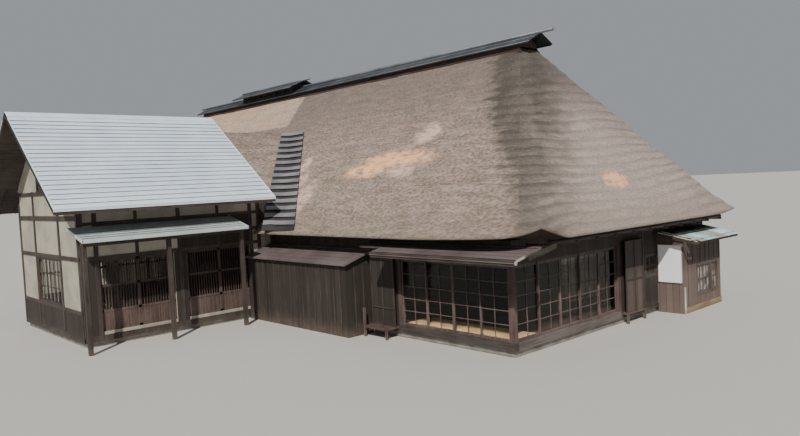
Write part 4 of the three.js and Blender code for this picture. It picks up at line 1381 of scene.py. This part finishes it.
# Wing walls: plaster panels between dark posts and rails. Barred sliding doors fill the openings on
# both sides, and the front gable has a window and a small louvred one under the ridge.
wing_west, wing_east, wing_south = -15.7, -10.1, -6.1
wing_top = 4.40
wing_faces = ((wing_east, 1), (wing_west, -1))
proud, rail_proud, panel_proud = 0.03, 0.024, 0.012
post_wide, stud_wide = 0.12, 0.09
door_middles = (-4.5, -1.9)
door_wide, door_bars = 1.1, 11


def build_plaster():
    dark = (0.34, 0.32, 0.265)
    look = Look("grey_plaster", 0.9)
    cloud, grain = look.use(mottle, Size=0.8, Grit=0.02)
    look.colour = mixed(cloud, dark, (0.46, 0.43, 0.35))
    look.lay(times(dark, 0.6), grain * 0.2)
    look.splash(0.7, 0.6)
    return look.done(grain, 0.002)


dress(build_plaster(), "wing_east_wall", "wing_west_wall", "wing_gable_wall", "wing_north_gable")

timbers, panels, doors, panes = Shape(), Shape(), Shape(), Shape()
for face, out in wing_faces:
    on_post, on_rail = (face, face + out * proud), (face, face + out * rail_proud)
    timbers.uprights("side", (-6.04, -5.66, -3.2, -0.74, -0.44), post_wide, (0.0, wing_top), on_post)
    timbers.uprights("side", door_middles, stud_wide, (2.36, wing_top), on_post)
    for z, tall in ((0.0, 0.16), (2.28, 0.10), (2.74, 0.10), (3.26, 0.09), (3.78, 0.16)):
        timbers.slab("side", (-6.1, -0.39), (z, z + tall), on_rail)
    for along in ((-5.98, -5.72), (-3.39, -3.26), (-3.14, -3.01)):
        panels.slab("side", along, (0.16, 2.28), (face, face + out * panel_proud))
    for along, height in (
        ((-5.60, -3.26), (2.84, 3.26)),
        ((-3.14, -0.80), (2.38, 2.74)),
        ((-3.14, -0.80), (2.84, 3.26)),
    ):
        panels.slab("side", along, height, (face, face + out * panel_proud))

    frame_deep, foot_deep, bar_deep, pane_at = (
        (face - out * near, face - out * far)
        for near, far in ((0.03, 0.065), (0.042, 0.055), (0.035, 0.058), (0.068, 0.072))
    )
    for middle in door_middles:
        for start in (middle - door_wide, middle):
            leaf = (start, start + door_wide)
            doors.uprights("side", (leaf[0] + 0.025, leaf[1] - 0.025), 0.05, (0.25, 2.28), frame_deep)
            doors.rails("side", leaf, (0.25, 0.78, 1.5, 2.20), 0.07, frame_deep)
            doors.slab("side", leaf, (0.3, 0.8), foot_deep)
            step = (door_wide - 0.1) / (door_bars + 1)
            bars = [start + 0.05 + step * i for i in range(1, door_bars + 1)]
            doors.uprights("side", bars, 0.018, (0.8, 2.22), bar_deep)
        panes.slab("side", (middle - door_wide, middle + door_wide), (0.8, 2.26), pane_at)

on_post, on_rail = (wing_south - proud, wing_south), (wing_south - rail_proud, wing_south)
gable_posts = (wing_west + post_wide / 2, -14.06, -11.74, wing_east - post_wide / 2)
timbers.uprights("front", gable_posts, post_wide, (0.0, 4.3), on_post)
for z, tall in ((0.0, 0.16), (0.78, 0.1), (2.27, 0.12), (3.4, 0.14), (4.16, 0.12)):
    timbers.slab("front", (wing_west, wing_east), (z, z + tall), on_rail)
timbers.uprights("front", [stub_ridge_x], post_wide, (5.14, 6.2), on_post)
make_piece("wing_posts_and_rails", timbers, dark_upright, "dark_timber", bevel=0.003)
panels.slab("front", (-15.58, -10.22), (0.16, 0.78), (wing_south - panel_proud, wing_south))
make_piece("wing_board_panels", panels, dark_boards, "dark_board")
make_piece("wing_doors", doors, post_timber, "red_timber")

gable_frame = Shape()
add_sash(gable_frame, panes, "front", (-14.0, -11.8), (0.9, 2.25), wing_south, -1, 6, 3)
make_piece("wing_gable_window", gable_frame, dark_upright, "dark_timber", bevel=0.002)
make_piece("wing_panes", panes, old_glass, "glass")

louvre = Shape().slab("front", (-13.5, -12.3), (4.305, 4.33), (wing_south + 0.02, wing_south + 0.10))
make_rows("wing_gable_louvres", [(louvre, 11, (0, 0, 0.072))], dark_level, "dark_timber")
louvre_deep = (wing_south - proud, wing_south + proud)
louvre_frame = Shape().uprights("front", (-13.52, -12.28), 0.04, (4.26, 5.14), louvre_deep)
louvre_frame.rails("front", (-13.54, -12.26), (4.26, 5.10), 0.04, louvre_deep)
make_piece("wing_gable_louvre_frame", louvre_frame, dark_upright, "dark_timber")


# Wing roof: pale blue-grey sheet metal in level courses, with a folded ridge cap and pale verges, on a
# boarded deck with rafter ends under the eaves.
wing_metal = metal_look("wing_metal", (0.68, 0.80, 0.92), (0.78, 0.89, 0.97), 0.42, 0.1)
wing_ridge_z, wing_pitch, wing_run = 6.62, 0.7455, 3.85
roof_south, roof_north = -7.0, -0.38
verge_wide, verge_up, verge_down = 0.035, 0.035, 0.06
dress(dark_level, "wing_roof_east", "wing_roof_west")
dress(wing_metal, "wing_ridge_cap")

verges = Shape()
rafters = []
hem_z = wing_ridge_z - wing_pitch * wing_run
for side, name in ((1, "east"), (-1, "west")):
    top = (stub_ridge_x + side * 0.02, wing_ridge_z)
    foot = (stub_ridge_x + side * (wing_run - 0.01), wing_ridge_z - wing_pitch * (wing_run - 0.01))
    span = (roof_south + 0.004, roof_north - 0.004)
    roof_courses(f"wing_{name}_courses", "y", span, top, foot, 22, wing_metal, "wing_metal", 0.03)

    hem, hem_out = stub_ridge_x + side * wing_run, stub_ridge_x + side * (wing_run + 0.012)
    edge = [(stub_ridge_x, wing_ridge_z + verge_up), (hem, hem_z + verge_up)]
    edge += [(hem, hem_z - verge_down), (stub_ridge_x, wing_ridge_z - verge_down)]
    verges.along_y(edge, roof_south, roof_south + verge_wide)
    verges.along_y(edge, roof_north - verge_wide, roof_north)
    fold = [(hem, hem_z + 0.025), (hem_out, hem_z + 0.018), (hem_out, hem_z - 0.045), (hem, hem_z - 0.045)]
    verges.along_y(fold, roof_south, roof_north)

    section = []
    for run, deep in ((2.82, 0.0), (wing_run - 0.08, 0.0), (wing_run - 0.08, 0.07), (2.82, 0.07)):
        section.append((stub_ridge_x + side * run, wing_ridge_z - 0.13 - wing_pitch * run - deep))
    rafters.append((Shape().along_y(section, -6.9, -6.85), 15, (0, 0.455, 0)))
make_piece("wing_verges_and_hems", verges, wing_metal, "wing_metal")
make_rows("wing_rafter_ends", rafters, dark_level, "dark_timber")


# Pent roof along the wing's east side: greenish-grey metal courses on a beam and three posts, with
# rafters under the sheets.
pent_metal = metal_look("pent_metal", (0.50, 0.58, 0.58), (0.62, 0.71, 0.71), 0.42, 0.1)
pent_low, pent_high = node_box("wing_pent_roof")
south, north = pent_low.y, pent_high.y
dress(pent_metal, "wing_pent_roof")
dress(dark_upright, "wing_pent_frame")
pent = (pent_metal, "wing_metal")
pent_span = (south + 0.003, north - 0.003)
roof_courses("pent_courses", "y", pent_span, (-10.09, 3.229), (-8.91, 2.9045), 7, *pent, rise=0.026)
pent_trim = Shape()
pent_edge = [(-10.098, 3.262), (-8.885, 2.929), (-8.885, 2.85), (-10.098, 3.183)]
pent_trim.along_y(pent_edge, south - 0.006, south + 0.02)
pent_trim.along_y(pent_edge, north - 0.02, north + 0.006)
pent_trim.along_y([(-8.905, 2.932), (-8.885, 2.927), (-8.885, 2.855), (-8.897, 2.855)], south, north)
make_piece("pent_hem", pent_trim, *pent)
pent_section = [(-10.09, 3.165), (-8.95, 2.852), (-8.95, 2.802), (-10.09, 3.115)]
pent_rafter = Shape().along_y(pent_section, south + 0.08, south + 0.125)
make_rows("pent_rafters", [(pent_rafter, 11, (0, 0.468, 0))], dark_level, "dark_timber")

low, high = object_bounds()
